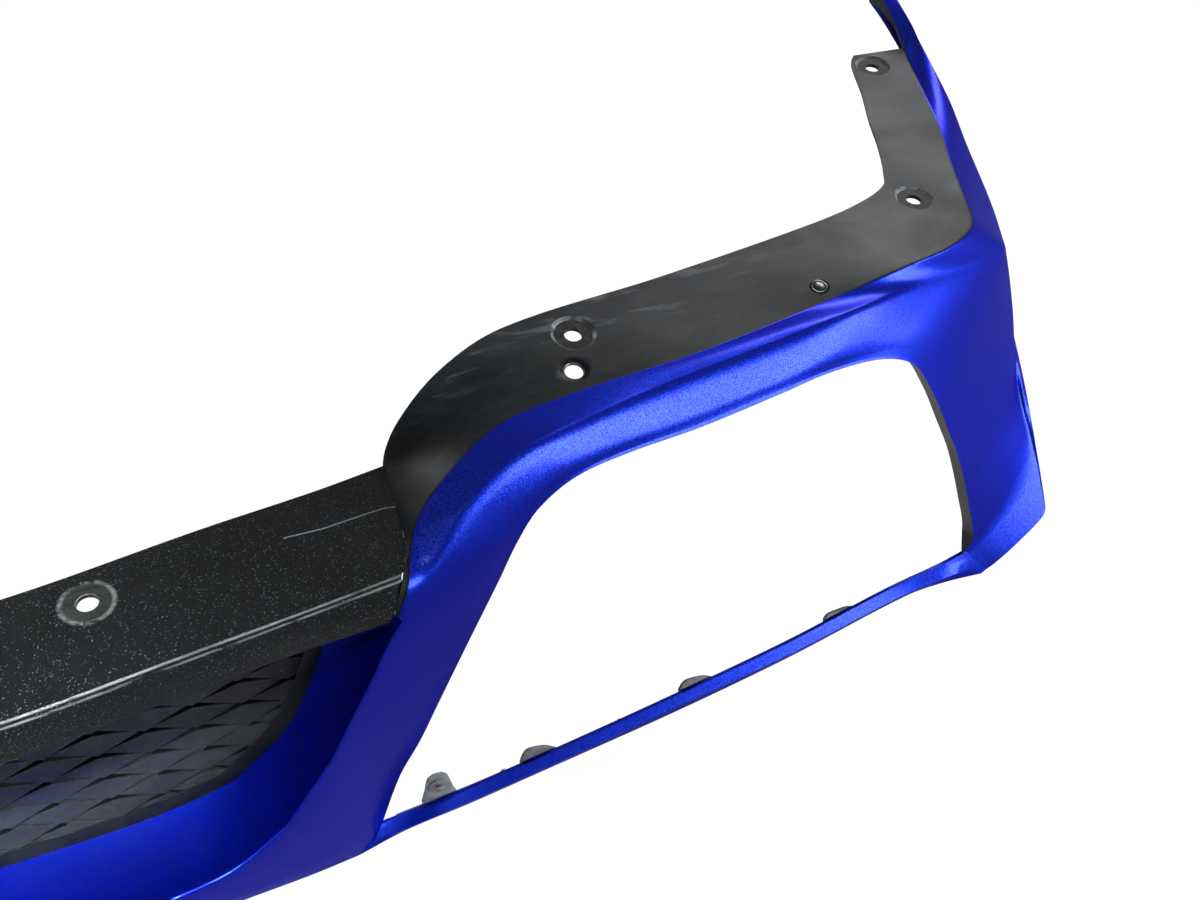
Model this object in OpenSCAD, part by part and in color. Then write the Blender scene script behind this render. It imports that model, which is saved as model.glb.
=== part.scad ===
// Front bumper cover: a painted skin with its bare headlamp flange, a gloss
// centre bar, a mouth grille, two fog-bezel carriers and their fasteners.
// X runs across the car, Y from the nose to the rear, Z up from the feet.

/* [Overall] */
// Width across the two wheel-arch corners
cover_w = 1810; // [1740:5:1880]
// Depth from the nose to the wing tips
cover_d = 462; // [440:2:490]
// Height from the feet to the wing tips
cover_h = 452; // [430:2:474]

/* [Skin] */
// Wall thickness of the moulded skin
wall = 3; // [2.6:0.1:3.4]
// Depth of the return wall round each fog opening
return_d = 15; // [12:1:18]
// Depth of the flange under the lower strip
foot_flange_d = 12; // [10:1:14]
// Depth of the undertray flange under the centre lip
tray_flange_d = 40; // [32:2:50]
// Thickness of the return walls and flanges
return_t = 2.5; // [2:0.1:3]

/* [Flange holes] */
// Diameter of the clip holes in the flange
clip_hole_d = 12; // [9:0.5:13]
// Diameter of the recessed seat round each clip hole
seat_d = 30; // [27:1:32]
// Depth of the recessed seat
seat_depth = 2; // [1.5:0.1:2.5]
// Thickness of the boss below a seat
boss_t = 3; // [2.5:0.5:4]

/* [Centre bar] */
// Wall thickness of the bar
bar_wall = 3; // [2.6:0.1:3.4]
// Height of the front face of the bar
bar_face_h = 30; // [27:1:32]
// Gap between the bar and the skin
bar_gap = 0.4; // [0.3:0.1:0.8]

/* [Grille] */
// Thickness of the grille frame
frame_t = 4; // [3:0.5:6]
// Width of the grille frame that shows round the mesh
frame_w = 11; // [9:1:14]
// Long diagonal of a mesh diamond
diamond_w = 58; // [50:2:66]
// Short diagonal of a mesh diamond
diamond_h = 19; // [17:1:24]
// Width of the grooves between the mesh diamonds
groove_w = 2; // [1.5:0.25:3]
// Height of the diamonds over the closed floor of the mesh
relief_h = 3; // [2:0.5:3.5]
// Thickness of the closed floor of the mesh
floor_t = 2; // [1.5:0.5:3]

/* [Bezel carriers] */
// Thickness of the carrier and its tabs
carrier_t = 2.5; // [2:0.1:3]
// Width of the first tab at its root
tab_w = 26; // [24:1:30]
// Height of the first tab above the strip
tab_h = 24; // [21:1:27]

/* [Fasteners] */
// Shank diameter of the screws
screw_d = 4; // [3.5:0.1:4.5]
// Head diameter of the screws
screw_head_d = 9; // [8:0.5:10]
// Head thickness of the screws
screw_head_h = 2.4; // [2:0.2:3]
// Shank diameter of the push clips
clip_d = 8; // [7:0.2:9]
// Head diameter of the push clips
clip_head_d = 12.5; // [12:0.5:14]
// Diameter of the sliding centre pin of a push clip
pin_d = 4; // [3.6:0.1:4.4]
// Running gap round fitted parts
fit_gap = 0.3; // [0.2:0.05:0.4]

/* [Hidden] */

// ---- Stations of the shape, in mm from the centre line, the nose and the feet.
// lip: bottom edge and crest of the centre lip, and the edge of the mouth above it
lip_edge = [[0, 16, 58], [110, 21, 54], [204, 33, 44], [251, 52, 22]];
lip_crest = [[0, 0, 92], [90, 6, 91], [171, 14, 91], [206, 19, 93]];
lip_mouth = [[0, 79, 89], [80, 79, 89], [150, 79, 91], [190, 79, 96]];
// foot, where the lower strip leaves the pillar
foot_bottom = [284, 72, 0];
foot_mid = [297, 76, 6];
foot_top = [304, 82, 12];
foot_crest = [[240, 24, 110], [274, 29, 150]];
foot_mouth = [[216, 79, 103], [243, 79, 124]];
// fog opening, up the pillar, along the top and down its outer side
opening_edge = [[321, 79, 59], [337, 76, 90], [353, 73, 126], [375, 69, 175],
    [396, 64, 223], [409, 62, 252], [424, 64, 271], [451, 70, 283],
    [490, 78, 285], [544, 86, 285], [607, 94, 290], [651, 102, 292],
    [698, 110, 287], [731, 115, 272], [755, 117, 240], [776, 118, 202],
    [794, 119, 168], [815, 120, 115], [827, 120, 76]];
// crest line beside it, up to its corner at the headlamp and down to the heel
opening_crest = [[289, 30, 177], [304, 31, 202], [316, 32, 224], [327, 33, 240],
    [341, 37, 256], [355, 43, 272], [377, 55, 294], [415, 70, 311],
    [465, 85, 314], [523, 98, 316], [613, 110, 322], [678, 119, 327],
    [770, 146, 322], [818, 162, 318], [850, 177, 315], [877, 182, 248],
    [886, 169, 185], [893, 154, 150], [897, 146, 132]];
// heel, where the lower strip meets the wing
heel_top = [820, 120, 64];
heel_mid = [833, 115, 49];
heel_bottom = [838, 113, 41];
heel_crest = [[900, 139, 117], [905, 123, 80]];
// edge of the mouth beside the pillar, up to the top rail of the grille
pillar_mouth = [[258, 79, 140], [270, 79, 161], [279, 79, 180], [286, 79, 198]];
mouth_top = [293, 79, 226];
// headlamp flange, from the seam of the bar to the corner: paint line and rear edge
flange_paint = [[325, 34, 243], [333, 35, 262], [342, 55, 276], [350, 65, 287],
    [372, 75, 304], [413, 100, 313], [470, 110, 317], [558, 118, 321],
    [640, 131, 326], [735, 142, 338], [777, 151, 341], [806, 167, 345]];
flange_rear = [[323, 35, 244], [330, 37, 265], [339, 61, 273], [342, 86, 278],
    [344, 124, 286], [356, 130, 309], [391, 148, 330], [441, 170, 338],
    [560, 186, 343], [680, 202, 351], [732, 213, 355], [766, 228, 359]];
// wing, from the corner back to the tip
wing_crest = [[868, 222, 331], [880, 277, 358], [889, 317, 379], [897, 362, 399],
    [900, 387, 412], [901, 398, 419], [902, 426, 434], [902, 462, 452]];
wing_paint = [[822, 199, 351], [838, 242, 362], [855, 280, 370], [874, 335, 383],
    [887, 380, 396], [890, 391, 402], [890, 422, 427], [890, 460, 448]];
flange_wing = [[780, 249, 363], [794, 279, 369], [806, 312, 377], [821, 349, 387],
    [836, 390, 396], [845, 401, 398]];
// centre bar, from the centre line to its seam: rear edge, shelf, crease, face, lower edge
bar_rear = [[0, 87, 277], [122, 94, 278], [231, 110, 281], [300, 118, 283], [343, 123, 286]];
bar_shelf = [[0, 58, 272], [120, 65, 273], [228, 80, 275], [298, 86, 277], [341, 84, 277]];
bar_front = [[0, 30, 267], [118, 36, 268], [218, 49, 270], [285, 58, 272], [338, 59, 273]];
bar_crease = [[0, 8, 263], [116, 13, 264], [210, 24, 266], [275, 32, 267], [331, 39, 269]];
bar_face = [[0, 8, 250], [116, 13, 251], [210, 24, 252], [270, 31, 253], [326, 35, 254]];
bar_lower = [[0, 10, 233], [116, 15, 234], [210, 26, 236], [265, 33, 236], [317, 37, 236]];
// lower strip between foot and heel: bottom edge, mid crease, top edge
strip_bottom = [[320, 79, 1], [369, 83, 2], [429, 88, 5], [540, 95, 14],
    [645, 103, 25], [761, 113, 42], [800, 114, 43]];
strip_mid = [[318, 76, 6], [366, 80, 7], [429, 85, 11], [538, 92, 22],
    [643, 99, 33], [752, 109, 48], [797, 112, 50]];
strip_top = [[328, 86, 9], [365, 87, 12], [437, 91, 18], [535, 96, 29],
    [645, 104, 41], [742, 114, 54], [800, 120, 58]];
// wheel-arch edge from the heel to the tip: the ends and pulls of one cubic
arch_pull = [[890, 170, 210], [884, 320, 385]];
arch_end = [899, 462, 425];

// Share of the foot's height at each of its seven columns: flange, wall, mid
// crease, wall and return wall
foot_share = [0, 0.16, 0.19, 0.5, 0.83, 0.86, 1];

// ---- Vector and spline helpers
function unit(v) = v / norm(v);
function mix(a, b, t) = a * (1 - t) + b * t;
function last(v) = v[len(v) - 1];
function flat(v) = [for (row = v) each row];
function reversed(v) = [for (i = [len(v) - 1:-1:0]) v[i]];
// The real place of a station: the design is 1810 x 462 x 452
function placed(p) = [p.x * cover_w / 1810, (p.y / 462 - 0.5) * cover_d, p.z * cover_h / 452];
// Slope of a curve at station i: one-sided at a corner
function slope(p, corners, i, side) =
    let (hard = i == 0 || i == len(p) - 1 || len(search(i, corners)) > 0,
        a = hard && side > 0 ? i : max(i - 1, 0),
        b = hard && side < 0 ? i : min(i + 1, len(p) - 1),
        run = norm(p[b] - p[i]) + norm(p[i] - p[a]))
    run > 0 ? (p[b] - p[a]) / run : p[0] * 0;
// Cubic through stations i and i + 1
function between(p, corners, i, t) =
    let (run = norm(p[i + 1] - p[i]), m0 = slope(p, corners, i, 1) * run,
        m1 = slope(p, corners, i + 1, -1) * run, t2 = t * t, t3 = t2 * t)
    p[i] * (2 * t3 - 3 * t2 + 1) + m0 * (t3 - 2 * t2 + t)
    + p[i + 1] * (3 * t2 - 2 * t3) + m1 * (t3 - t2);
// A curve with steps[i] pieces after station i
function curve(p, corners, steps) = concat(
    [for (i = [0:len(p) - 2], s = [0:steps[i] - 1]) between(p, corners, i, s / steps[i])],
    [last(p)]);
// A column of the foot or heel: its edge runs over the end of the strip
function split(lo, mid, hi) =
    [for (s = foot_share) s <= 0.5 ? mix(lo, mid, s * 2) : mix(mid, hi, s * 2 - 1)];
function spread(ends) = [for (s = foot_share) mix(ends[0], ends[1], s)];
// A table of [station, value] read at any station
function read(table, s) = [for (k = [0:2]) lookup(s, [for (row = table) [row[0], row[1][k]]])];

// ---- Columns of the main band, from the centre lip round the fog opening
edge_stations = concat(lip_edge, split(foot_bottom, foot_mid, foot_top), opening_edge,
    reversed(split(heel_bottom, heel_mid, heel_top)));
crest_stations = concat(lip_crest, spread(foot_crest), opening_crest, spread(heel_crest));
foot0 = 4;
foot1 = 10;
seam0 = 14;
corner0 = 25;
heel0 = 30;
heel1 = 36;
band_steps = [for (i = [0:heel1 - 1])
    (i >= foot0 && i < foot1) || i >= heel0 - 1 ? 1 : 2];
foot_corners = [for (i = [foot0:foot1]) i];
heel_corners = [for (i = [heel0:heel1]) i];
band_edge = [for (p = curve(edge_stations, concat(foot_corners, heel_corners), band_steps)) placed(p)];
band_crest = [for (p = curve(crest_stations, concat(foot_corners, [corner0], heel_corners),
    band_steps)) placed(p)];
// Station of each column
function columns(steps, from) = concat(
    [for (i = [0:len(steps) - 1], s = [0:steps[i] - 1]) from + i + s / steps[i]],
    [from + len(steps)]);
band_at = columns(band_steps, 0);
function column_of(station) = search(station, band_at)[0];
// How far the wall behind the edge reaches back
function edge_depth(s) = s <= 3 ? tray_flange_d
    : s < foot0 ? mix(tray_flange_d, foot_flange_d, s - 3)
    : s <= foot0 + 1 || s >= heel1 - 1 ? foot_flange_d
    : s <= foot1 || s >= heel0 ? wall
    : min(return_d, mix(wall, return_d, min(s - foot1, heel0 - s)));
// Directions in which the wall grows from the outer face
crest_in = [[0, [0, 0.8, -0.6]], [3, [0.2, 0.85, -0.5]], [foot0, [0.4, 0.9, -0.2]],
    [seam0 - 3, [0.45, 0.85, -0.2]], [seam0, [0.4, 0.85, -0.4]], [seam0 + 3, [0.3, 0.7, -0.6]],
    [19, [0, 0.6, -0.8]], [23, [0, 0.6, -0.8]], [corner0, [-0.6, 0.55, -0.55]],
    [corner0 + 1, [-0.8, 0.6, -0.1]], [heel1, [-0.8, 0.6, 0]]];
edge_in = [[0, [0, 1, 0]], [corner0 - 3, [0, 1, 0]], [corner0 + 1, [-0.3, 0.95, 0]],
    [heel1, [-0.3, 0.95, 0]]];
paint_in = [[seam0, [0.6, 0.6, -0.5]], [17, [0.5, 0.5, -0.7]], [19, [0.2, 0.4, -0.9]],
    [21, [0, 0.3, -0.95]], [corner0, [-0.1, 0.2, -0.97]], [corner0 + 7, [-0.1, 0, -1]]];
rear_in = [[seam0, [0.7, 0.6, -0.4]], [17, [0.6, 0.4, -0.7]], [19, [0.6, 0.1, -0.8]],
    [21, [0.1, 0.3, -0.95]], [corner0, [0, 0.2, -0.98]], [corner0 + 7, [0.1, 0, -1]]];
mouth_in = [[0, [0, 0, -1]], [2, [0, 0, -1]], [foot0, [0.6, 0, -0.8]], [foot1, [0.75, 0, -0.65]],
    [seam0, [0.93, 0, -0.35]], [seam0 + 1, [0.97, 0, -0.2]]];
function grown(table, s) = unit(read(table, s)) * wall * 1.06;

// ---- Patches: each is [outer rows, inner rows, open sides]
// Main band, from the edge of the opening to the crest
face_rows = [0.35, 0.7];
face_bulge = 2.5;
function band_column(k) =
    let (e = band_edge[k], c = band_crest[k], s = band_at[k], up = unit(c - e),
        wall_in = [0, edge_depth(s), 0], e_in = grown(edge_in, s), c_in = grown(crest_in, s),
        a = e + up * return_t, b = e + up * (return_t + 0.5))
    [concat([e, a, b], [for (t = face_rows) mix(b, c, t) - mix(e_in, c_in, t) * face_bulge / wall], [c]),
     concat([e + wall_in, a + wall_in, b + e_in],
        [for (t = face_rows) mix(b, c, t) + mix(e_in, c_in, t) * (1 - face_bulge / wall)], [c + c_in])];
function turned(grid) = [for (j = [0:len(grid[0]) - 1]) [for (row = grid) row[j]]];
band = [for (k = [0:len(band_edge) - 1]) band_column(k)];
band_patch = [turned([for (c = band) c[0]]), turned([for (c = band) c[1]])];

// Chamfer from the crest to the paint line, and on along the wing
wing_steps = [3, 3, 2, 2, 1, 1, 2, 1];
chamfer_steps = concat([for (i = [seam0:corner0 - 1]) band_steps[i]], wing_steps);
chamfer_at = columns(chamfer_steps, seam0);
wing_stations = concat([opening_crest[corner0 - foot1 - 1]], wing_crest);
wing_edge = [for (p = curve(wing_stations, [], wing_steps)) placed(p)];
chamfer_crest = concat([for (k = [column_of(seam0):column_of(corner0) - 1]) band_crest[k]], wing_edge);
chamfer_paint = [for (p = curve(concat(flange_paint, wing_paint), [], chamfer_steps)) placed(p)];
wing_in = [[corner0, [-0.6, 0.55, -0.55]], [corner0 + 1, [-0.75, 0.1, -0.65]],
    [corner0 + 7, [-0.75, 0, -0.65]]];
function chamfer_in(s) = s <= corner0 ? grown(crest_in, s) : grown(wing_in, s);
chamfer_rows = [0, 0.5, 1];
chamfer_round = 0.5;
chamfer_patch = [
    [for (t = chamfer_rows) [for (k = [0:len(chamfer_at) - 1])
        mix(chamfer_crest[k], chamfer_paint[k], t)
        - (t == 0.5 ? chamfer_in(chamfer_at[k]) * chamfer_round / wall : [0, 0, 0])]],
    [for (t = chamfer_rows) [for (k = [0:len(chamfer_at) - 1]) let (s = chamfer_at[k])
        mix(chamfer_crest[k] + chamfer_in(s), chamfer_paint[k] + grown(paint_in, s), t)]]];

// Bare flange from the paint line to its rear edge, up to the end tab
flange_steps = [for (i = [0:len(chamfer_steps) - 3]) chamfer_steps[i]];
flange_at = columns(flange_steps, seam0);
flange_edge = [for (p = curve(concat(flange_rear, flange_wing), [], flange_steps)) placed(p)];
flange_rows = [0, 0.33, 0.67, 1];
flange_patch = [
    [for (t = flange_rows) [for (k = [0:len(flange_at) - 1]) mix(chamfer_paint[k], flange_edge[k], t)]],
    [for (t = flange_rows) [for (k = [0:len(flange_at) - 1]) let (s = flange_at[k])
        mix(chamfer_paint[k] + grown(paint_in, s), flange_edge[k] + grown(rear_in, s), t)]]];

// A point of the bare flange: station s along it, share t from paint line to rear edge
flange_paint_all = concat(flange_paint, wing_paint);
flange_rear_all = concat(flange_rear, flange_wing);
function along(p, s) = let (i = min(floor(s), len(p) - 2)) between(p, [], i, s - i);
function flange_point(s, t) =
    placed(mix(along(flange_paint_all, s - seam0), along(flange_rear_all, s - seam0), t));
function flange_normal(s, t) = unit(cross(flange_point(s + 0.1, t) - flange_point(s - 0.1, t),
    flange_point(s, t + 0.05) - flange_point(s, t - 0.05)));

// Side of the wing, fanned out from the corner to the wheel arch
side_edge = [for (k = [column_of(corner0):len(band_crest) - 1]) band_crest[k]];
side_parts = 12;
corner = side_edge[0];
wing_tip = last(wing_edge);
function cubic(a, b, c, d, t) = a * pow(1 - t, 3) + b * 3 * t * pow(1 - t, 2)
    + c * 3 * t * t * (1 - t) + d * pow(t, 3);
function on_arch(t) = cubic(last(side_edge), placed(arch_pull[0]), placed(arch_pull[1]),
    placed(arch_end), t);
function rib(j) = j == side_parts ? wing_tip : on_arch(j / (side_parts - 1));
function side_point(i, j) =
    let (t = j / side_parts, a = side_edge[i], b = wing_edge[i], heel = last(side_edge),
        fa = norm(a - corner) / norm(heel - corner), fb = norm(b - corner) / norm(wing_tip - corner))
    j == 0 ? a : j == side_parts ? b
    : corner + (rib(j) - corner) * mix(fa, fb, t) + (a - mix(corner, heel, fa)) * (1 - t)
        + (b - mix(corner, wing_tip, fb)) * t;
function side_in(i, j) =
    let (t = j / side_parts, a = grown(crest_in, band_at[column_of(corner0) + i]),
        b = chamfer_in(chamfer_at[search(corner0, chamfer_at)[0] + i]))
    i == 0 || j == 0 ? a : j == side_parts ? b
    : mix(mix(a, [-wall, 0, 0], min(1, 3 * t)), b, max(0, 3 * t - 2));
side_patch = [
    [for (i = [0:len(side_edge) - 1]) [for (j = [0:side_parts]) i == 0 ? corner : side_point(i, j)]],
    [for (i = [0:len(side_edge) - 1]) [for (j = [0:side_parts])
        (i == 0 ? corner : side_point(i, j)) + (i == 0 ? side_in(0, 0) : side_in(i, j))]]];

// Scoop of the mouth, from the crest back to the edge that holds the grille
scoop_crest = concat([for (k = [0:column_of(seam0)]) last(band_patch[0])[k]],
    [chamfer_patch[0][1][0]], [for (row = flange_patch[0]) row[0]]);
scoop_crest_in = concat([for (k = [0:column_of(seam0)]) last(band_patch[1])[k]],
    [chamfer_patch[1][1][0]], [for (row = flange_patch[1]) row[0]]);
mouth_stations = concat(lip_mouth, spread(foot_mouth), pillar_mouth);
mouth_steps = [for (i = [0:seam0 - 1]) band_steps[i]];
mouth_end = last(mouth_stations);
mouth_edge = [for (p = concat(curve(mouth_stations, [], mouth_steps),
    [for (t = [0.2:0.2:1]) mix(mouth_end, mouth_top, t)])) placed(p)];
mouth_at = concat(columns(mouth_steps, 0), [for (t = [0.2:0.2:1]) seam0 + t]);
scoop_rows = [0, 0.25, 0.5, 0.75, 1];
// The scoop sags by this much at its middle, and by less where it is shorter than its reach
scoop_sag = 4;
scoop_reach = 60;
function sag(k, t) = grown(mouth_in, mouth_at[k]) * 4 * t * (1 - t) * scoop_sag / wall
    * min(norm(mouth_edge[k] - scoop_crest[k]) / scoop_reach, 1);
scoop_patch = [
    [for (t = scoop_rows) [for (k = [0:len(mouth_edge) - 1])
        mix(scoop_crest[k], mouth_edge[k], t) + sag(k, t)]],
    [for (t = scoop_rows) [for (k = [0:len(mouth_edge) - 1])
        mix(scoop_crest_in[k], mouth_edge[k] + grown(mouth_in, mouth_at[k]), t) + sag(k, t)]]];

// Lower strip between the foot and the heel
strip_steps = [2, 2, 2, 2, 2, 2, 2, 1];
function strip_row(a, stations, b) = curve(concat([a], stations, [b]), [], strip_steps);
strip_lo = strip_row(foot_bottom, strip_bottom, heel_bottom);
strip_mi = strip_row(foot_mid, strip_mid, heel_mid);
strip_hi = strip_row(foot_top, strip_top, heel_top);
strip_columns = [for (k = [0:len(strip_lo) - 1])
    [for (p = split(strip_lo[k], strip_mi[k], strip_hi[k])) placed(p)]];
function strip_depth(row) = row < 2 ? foot_flange_d : wall;
function strip_inner(k, row) = strip_columns[k][row] + [0, strip_depth(row), 0];
strip_patch = [turned(strip_columns),
    turned([for (k = [0:len(strip_columns) - 1]) [for (row = [0:6]) strip_inner(k, row)]])];

// ---- From patches to one closed solid
function cell(c, m, i, j) = c + i * m + j;
function keep(f, pts) = norm(pts[f[0]] - pts[f[1]]) > 1e-4 && norm(pts[f[1]] - pts[f[2]]) > 1e-4
    && norm(pts[f[2]] - pts[f[0]]) > 1e-4;
function two(a, b, c, d) = [[a, b, c], [a, c, d]];
// Faces of a patch: outer skin, inner skin, and a rim along each open side.
// A side is [side, from, to]: 0 first row, 1 last row, 2 first column, 3 last column.
function patch_faces(n, m, sides) =
    let (o = 0, u = n * m)
    concat(
        [for (i = [0:n - 2], j = [0:m - 2])
            each two(cell(o, m, i, j), cell(o, m, i, j + 1), cell(o, m, i + 1, j + 1),
                cell(o, m, i + 1, j))],
        [for (i = [0:n - 2], j = [0:m - 2])
            each two(cell(u, m, i + 1, j), cell(u, m, i + 1, j + 1), cell(u, m, i, j + 1),
                cell(u, m, i, j))],
        [for (s = sides, k = [s[1]:s[2] - 1])
            let (a = s[0] == 0 ? [0, k + 1] : s[0] == 1 ? [n - 1, k] : s[0] == 2 ? [k, 0] : [k + 1, m - 1],
                b = s[0] == 0 ? [0, k] : s[0] == 1 ? [n - 1, k + 1] : s[0] == 2 ? [k + 1, 0] : [k, m - 1])
            each two(cell(o, m, a[0], a[1]), cell(o, m, b[0], b[1]), cell(u, m, b[0], b[1]),
                cell(u, m, a[0], a[1]))]);
// True if the outer faces already turn the right way for a polyhedron
function outward(a, b) =
    let (i = floor(len(a) / 2), j = floor(len(a[0]) / 2), p = a[i][j],
        n = cross(a[i][j + 1 < len(a[0]) ? j + 1 : j - 1] - p, a[i + 1 < len(a) ? i + 1 : i - 1][j] - p)
            * (j + 1 < len(a[0]) ? 1 : -1) * (i + 1 < len(a) ? 1 : -1))
    n * (b[i][j] - p) > 0;
function mirrored(grid) = [for (row = grid) [for (p = row) [-p.x, p.y, p.z]]];
function piece(patch, sides, turn) =
    let (a = patch[0], b = patch[1], pts = concat(flat(a), flat(b)),
        faces = [for (f = patch_faces(len(a), len(a[0]), sides)) if (keep(f, pts)) f],
        good = outward(a, b) != turn)
    [pts, good ? faces : [for (f = faces) [f[0], f[2], f[1]]]];
function both_sides(patch, sides) =
    [piece(patch, sides, false), piece([mirrored(patch[0]), mirrored(patch[1])], sides, false)];
function starts(pieces, i = 0, n = 0) =
    i == len(pieces) ? [] : concat([n], starts(pieces, i + 1, n + len(pieces[i][0])));
module closed(pieces) {
    from = starts(pieces);
    polyhedron(
        points = [for (p = pieces) each p[0]],
        faces = [for (i = [0:len(pieces) - 1], f = pieces[i][1]) [for (v = f) v + from[i]]]);
}

// ---- Outlines and places that several sub-parts share
mouth_y = placed(mouth_top).y;
mouth_half = [for (p = curve(concat(lip_mouth, foot_mouth, pillar_mouth, [mouth_top]), [],
    [3, 2, 1, 1, 1, 1, 2, 2, 2, 2])) let (q = placed(p)) [q.x, q.z]];
function along_2d(pts, i) = unit(pts[min(i + 1, len(pts) - 1)] - pts[max(i - 1, 0)]);
// The mouth's edge moved outwards by d; its ends stay on the centre line and level
function moved(d) = [for (i = [0:len(mouth_half) - 1])
    let (a = along_2d(mouth_half, i), p = mouth_half[i] + [a.y, -a.x] * d)
    i == 0 ? [0, mouth_half[0].y - d] : p];
function closed_2d(half, top) = let (h = concat(half, [[last(half).x, top]]))
    concat(h, [for (i = [len(h) - 1:-1:1]) [-h[i].x, h[i].y]]);
frame_flange = 13;
rail_h = 24;
seat_border = 6;
rail_bottom = last(mouth_half).y;
frame_outer = closed_2d(moved(frame_flange), rail_bottom + rail_h);
frame_inner = closed_2d([for (p = moved(-frame_w)) if (p.y < rail_bottom - 1) p], rail_bottom);
mesh_outer = closed_2d([for (p = moved(seat_border - frame_w)) if (p.y < rail_bottom - 1) p],
    rail_bottom + seat_border);
mesh_window = closed_2d([for (p = moved(-frame_w - fit_gap)) if (p.y < rail_bottom - 2) p],
    rail_bottom - fit_gap);
// Screws that hold the frame to the skin: place along the mouth edge, distance outside it
frame_screws = [[2, 7.5], [5, 8], [12, 9], [15, 9]];
function frame_screw(k) = let (a = along_2d(mouth_half, k[0]))
    mouth_half[k[0]] + [a.y, -a.x] * k[1];
boss_d = screw_d + 6;
boss_len = 9;
// Blind end of a screw boss, room past the tip of its screw, and the screw's easy fit
blind_end = 2;
tip_gap = 1;
grip_gap = 0.1;
// Length of a cut that runs well past a wall on each side
cut_len = 20;
// Screws that hold the bar's web to the top rail of the frame
bar_screw_x = [for (x = [-225, -75, 75, 225]) x * cover_w / 1810];
bar_screw_z = rail_bottom + rail_h / 2;
web_t = bar_wall;
web_boss_len = 6;
web_lift = 4;
// Flange holes: [station, share from the paint line to the rear edge]
clip_seats = [[21.05, 0.68], [25.1, 0.65], [29.85, 0.65]];
open_hole = [20.35, 0.3];
clip_place = [22.4, 0.2];
clip_seat_d = clip_head_d + 1.5;
// A seat's boss is wider than the seat and starts just under the face of the flange
boss_rim = 3;
boss_sunk = 1;
// Sunk rim of the open hole: how much wider and how deep
sink_rim = 16;
sink_depth = 1.5;
module on_flange(h) {
    n = flange_normal(h[0], h[1]);
    translate(flange_point(h[0], h[1])) rotate([0, acos(n.z), atan2(n.y, n.x)]) children();
}
// Carrier: its plate stands in the channel of the strip, just behind the strip's top edge
strip_mid_all = concat([foot_mid], strip_mid, [heel_mid]);
strip_low_all = concat([foot_bottom], strip_bottom, [heel_bottom]);
strip_top_all = concat([foot_top], strip_top, [heel_top]);
carrier_from = 0.7;
carrier_to = 7.4;
// Room between the plate, which runs at a slant, and the wall, bosses and screw heads
slant_gap = 0.5;
function carrier_point(s, share) =
    let (p = placed(along(strip_low_all, s)), q = placed(along(strip_top_all, s)), r = mix(p, q, share))
    [r.x, q.y + wall + slant_gap, r.z];
// Station and height of the low tabs, and station of the tall first one
low_tabs = [[2.87, 8.5], [4.24, 5.5], [5.53, 2]];
tall_tab = 1.57;
carrier_shares = [0.25, 0.69];
carrier_screw_stations = [2.5, 3.6, 4.8, 6.4];
carrier_screw_share = 0.455;
carrier_screw_d = 2.5;
carrier_head_d = 5;
carrier_head_h = 1.2;
carrier_boss_d = 6;
carrier_grip = 3.5;
function carrier_screw_point(s) = carrier_point(s, carrier_screw_share);
// Length of the boss of a carrier screw, from inside the strip's wall to just short of the plate
function carrier_boss_len(s) =
    carrier_screw_point(s).y - slant_gap - placed(along(strip_mid_all, s)).y - wall + 1;
// A hole for a screw of diameter d
function free_d(d) = d + 2 * fit_gap;

module cap_screw(d, head_d, length, head_h) {
    union() {
        cylinder(d = d, h = length, $fn = 24);
        translate([0, 0, length]) cylinder(d = head_d, h = head_h, $fn = 32);
    }
}
module both() {
    children();
    mirror([1, 0, 0]) children();
}
// Child drawn in X and Y is stood up in X and Z, growing rearwards from y
module upright(y, t) {
    translate([0, y + t, 0]) rotate([90, 0, 0]) linear_extrude(t) children();
}
module backwards(p) {
    translate(p) rotate([-90, 0, 0]) children();
}

// Boss below a round seat in the flange, and the cuts that make the seat and its hole
module seat_boss(d) {
    translate([0, 0, -seat_depth - boss_t]) cylinder(d = d + boss_rim, h = boss_t + seat_depth - boss_sunk);
}
module seat_cut(d, hole_d) {
    translate([0, 0, -seat_depth]) cylinder(d = d, h = cut_len);
    cylinder(d = hole_d, h = 2 * cut_len, center = true);
}

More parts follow.
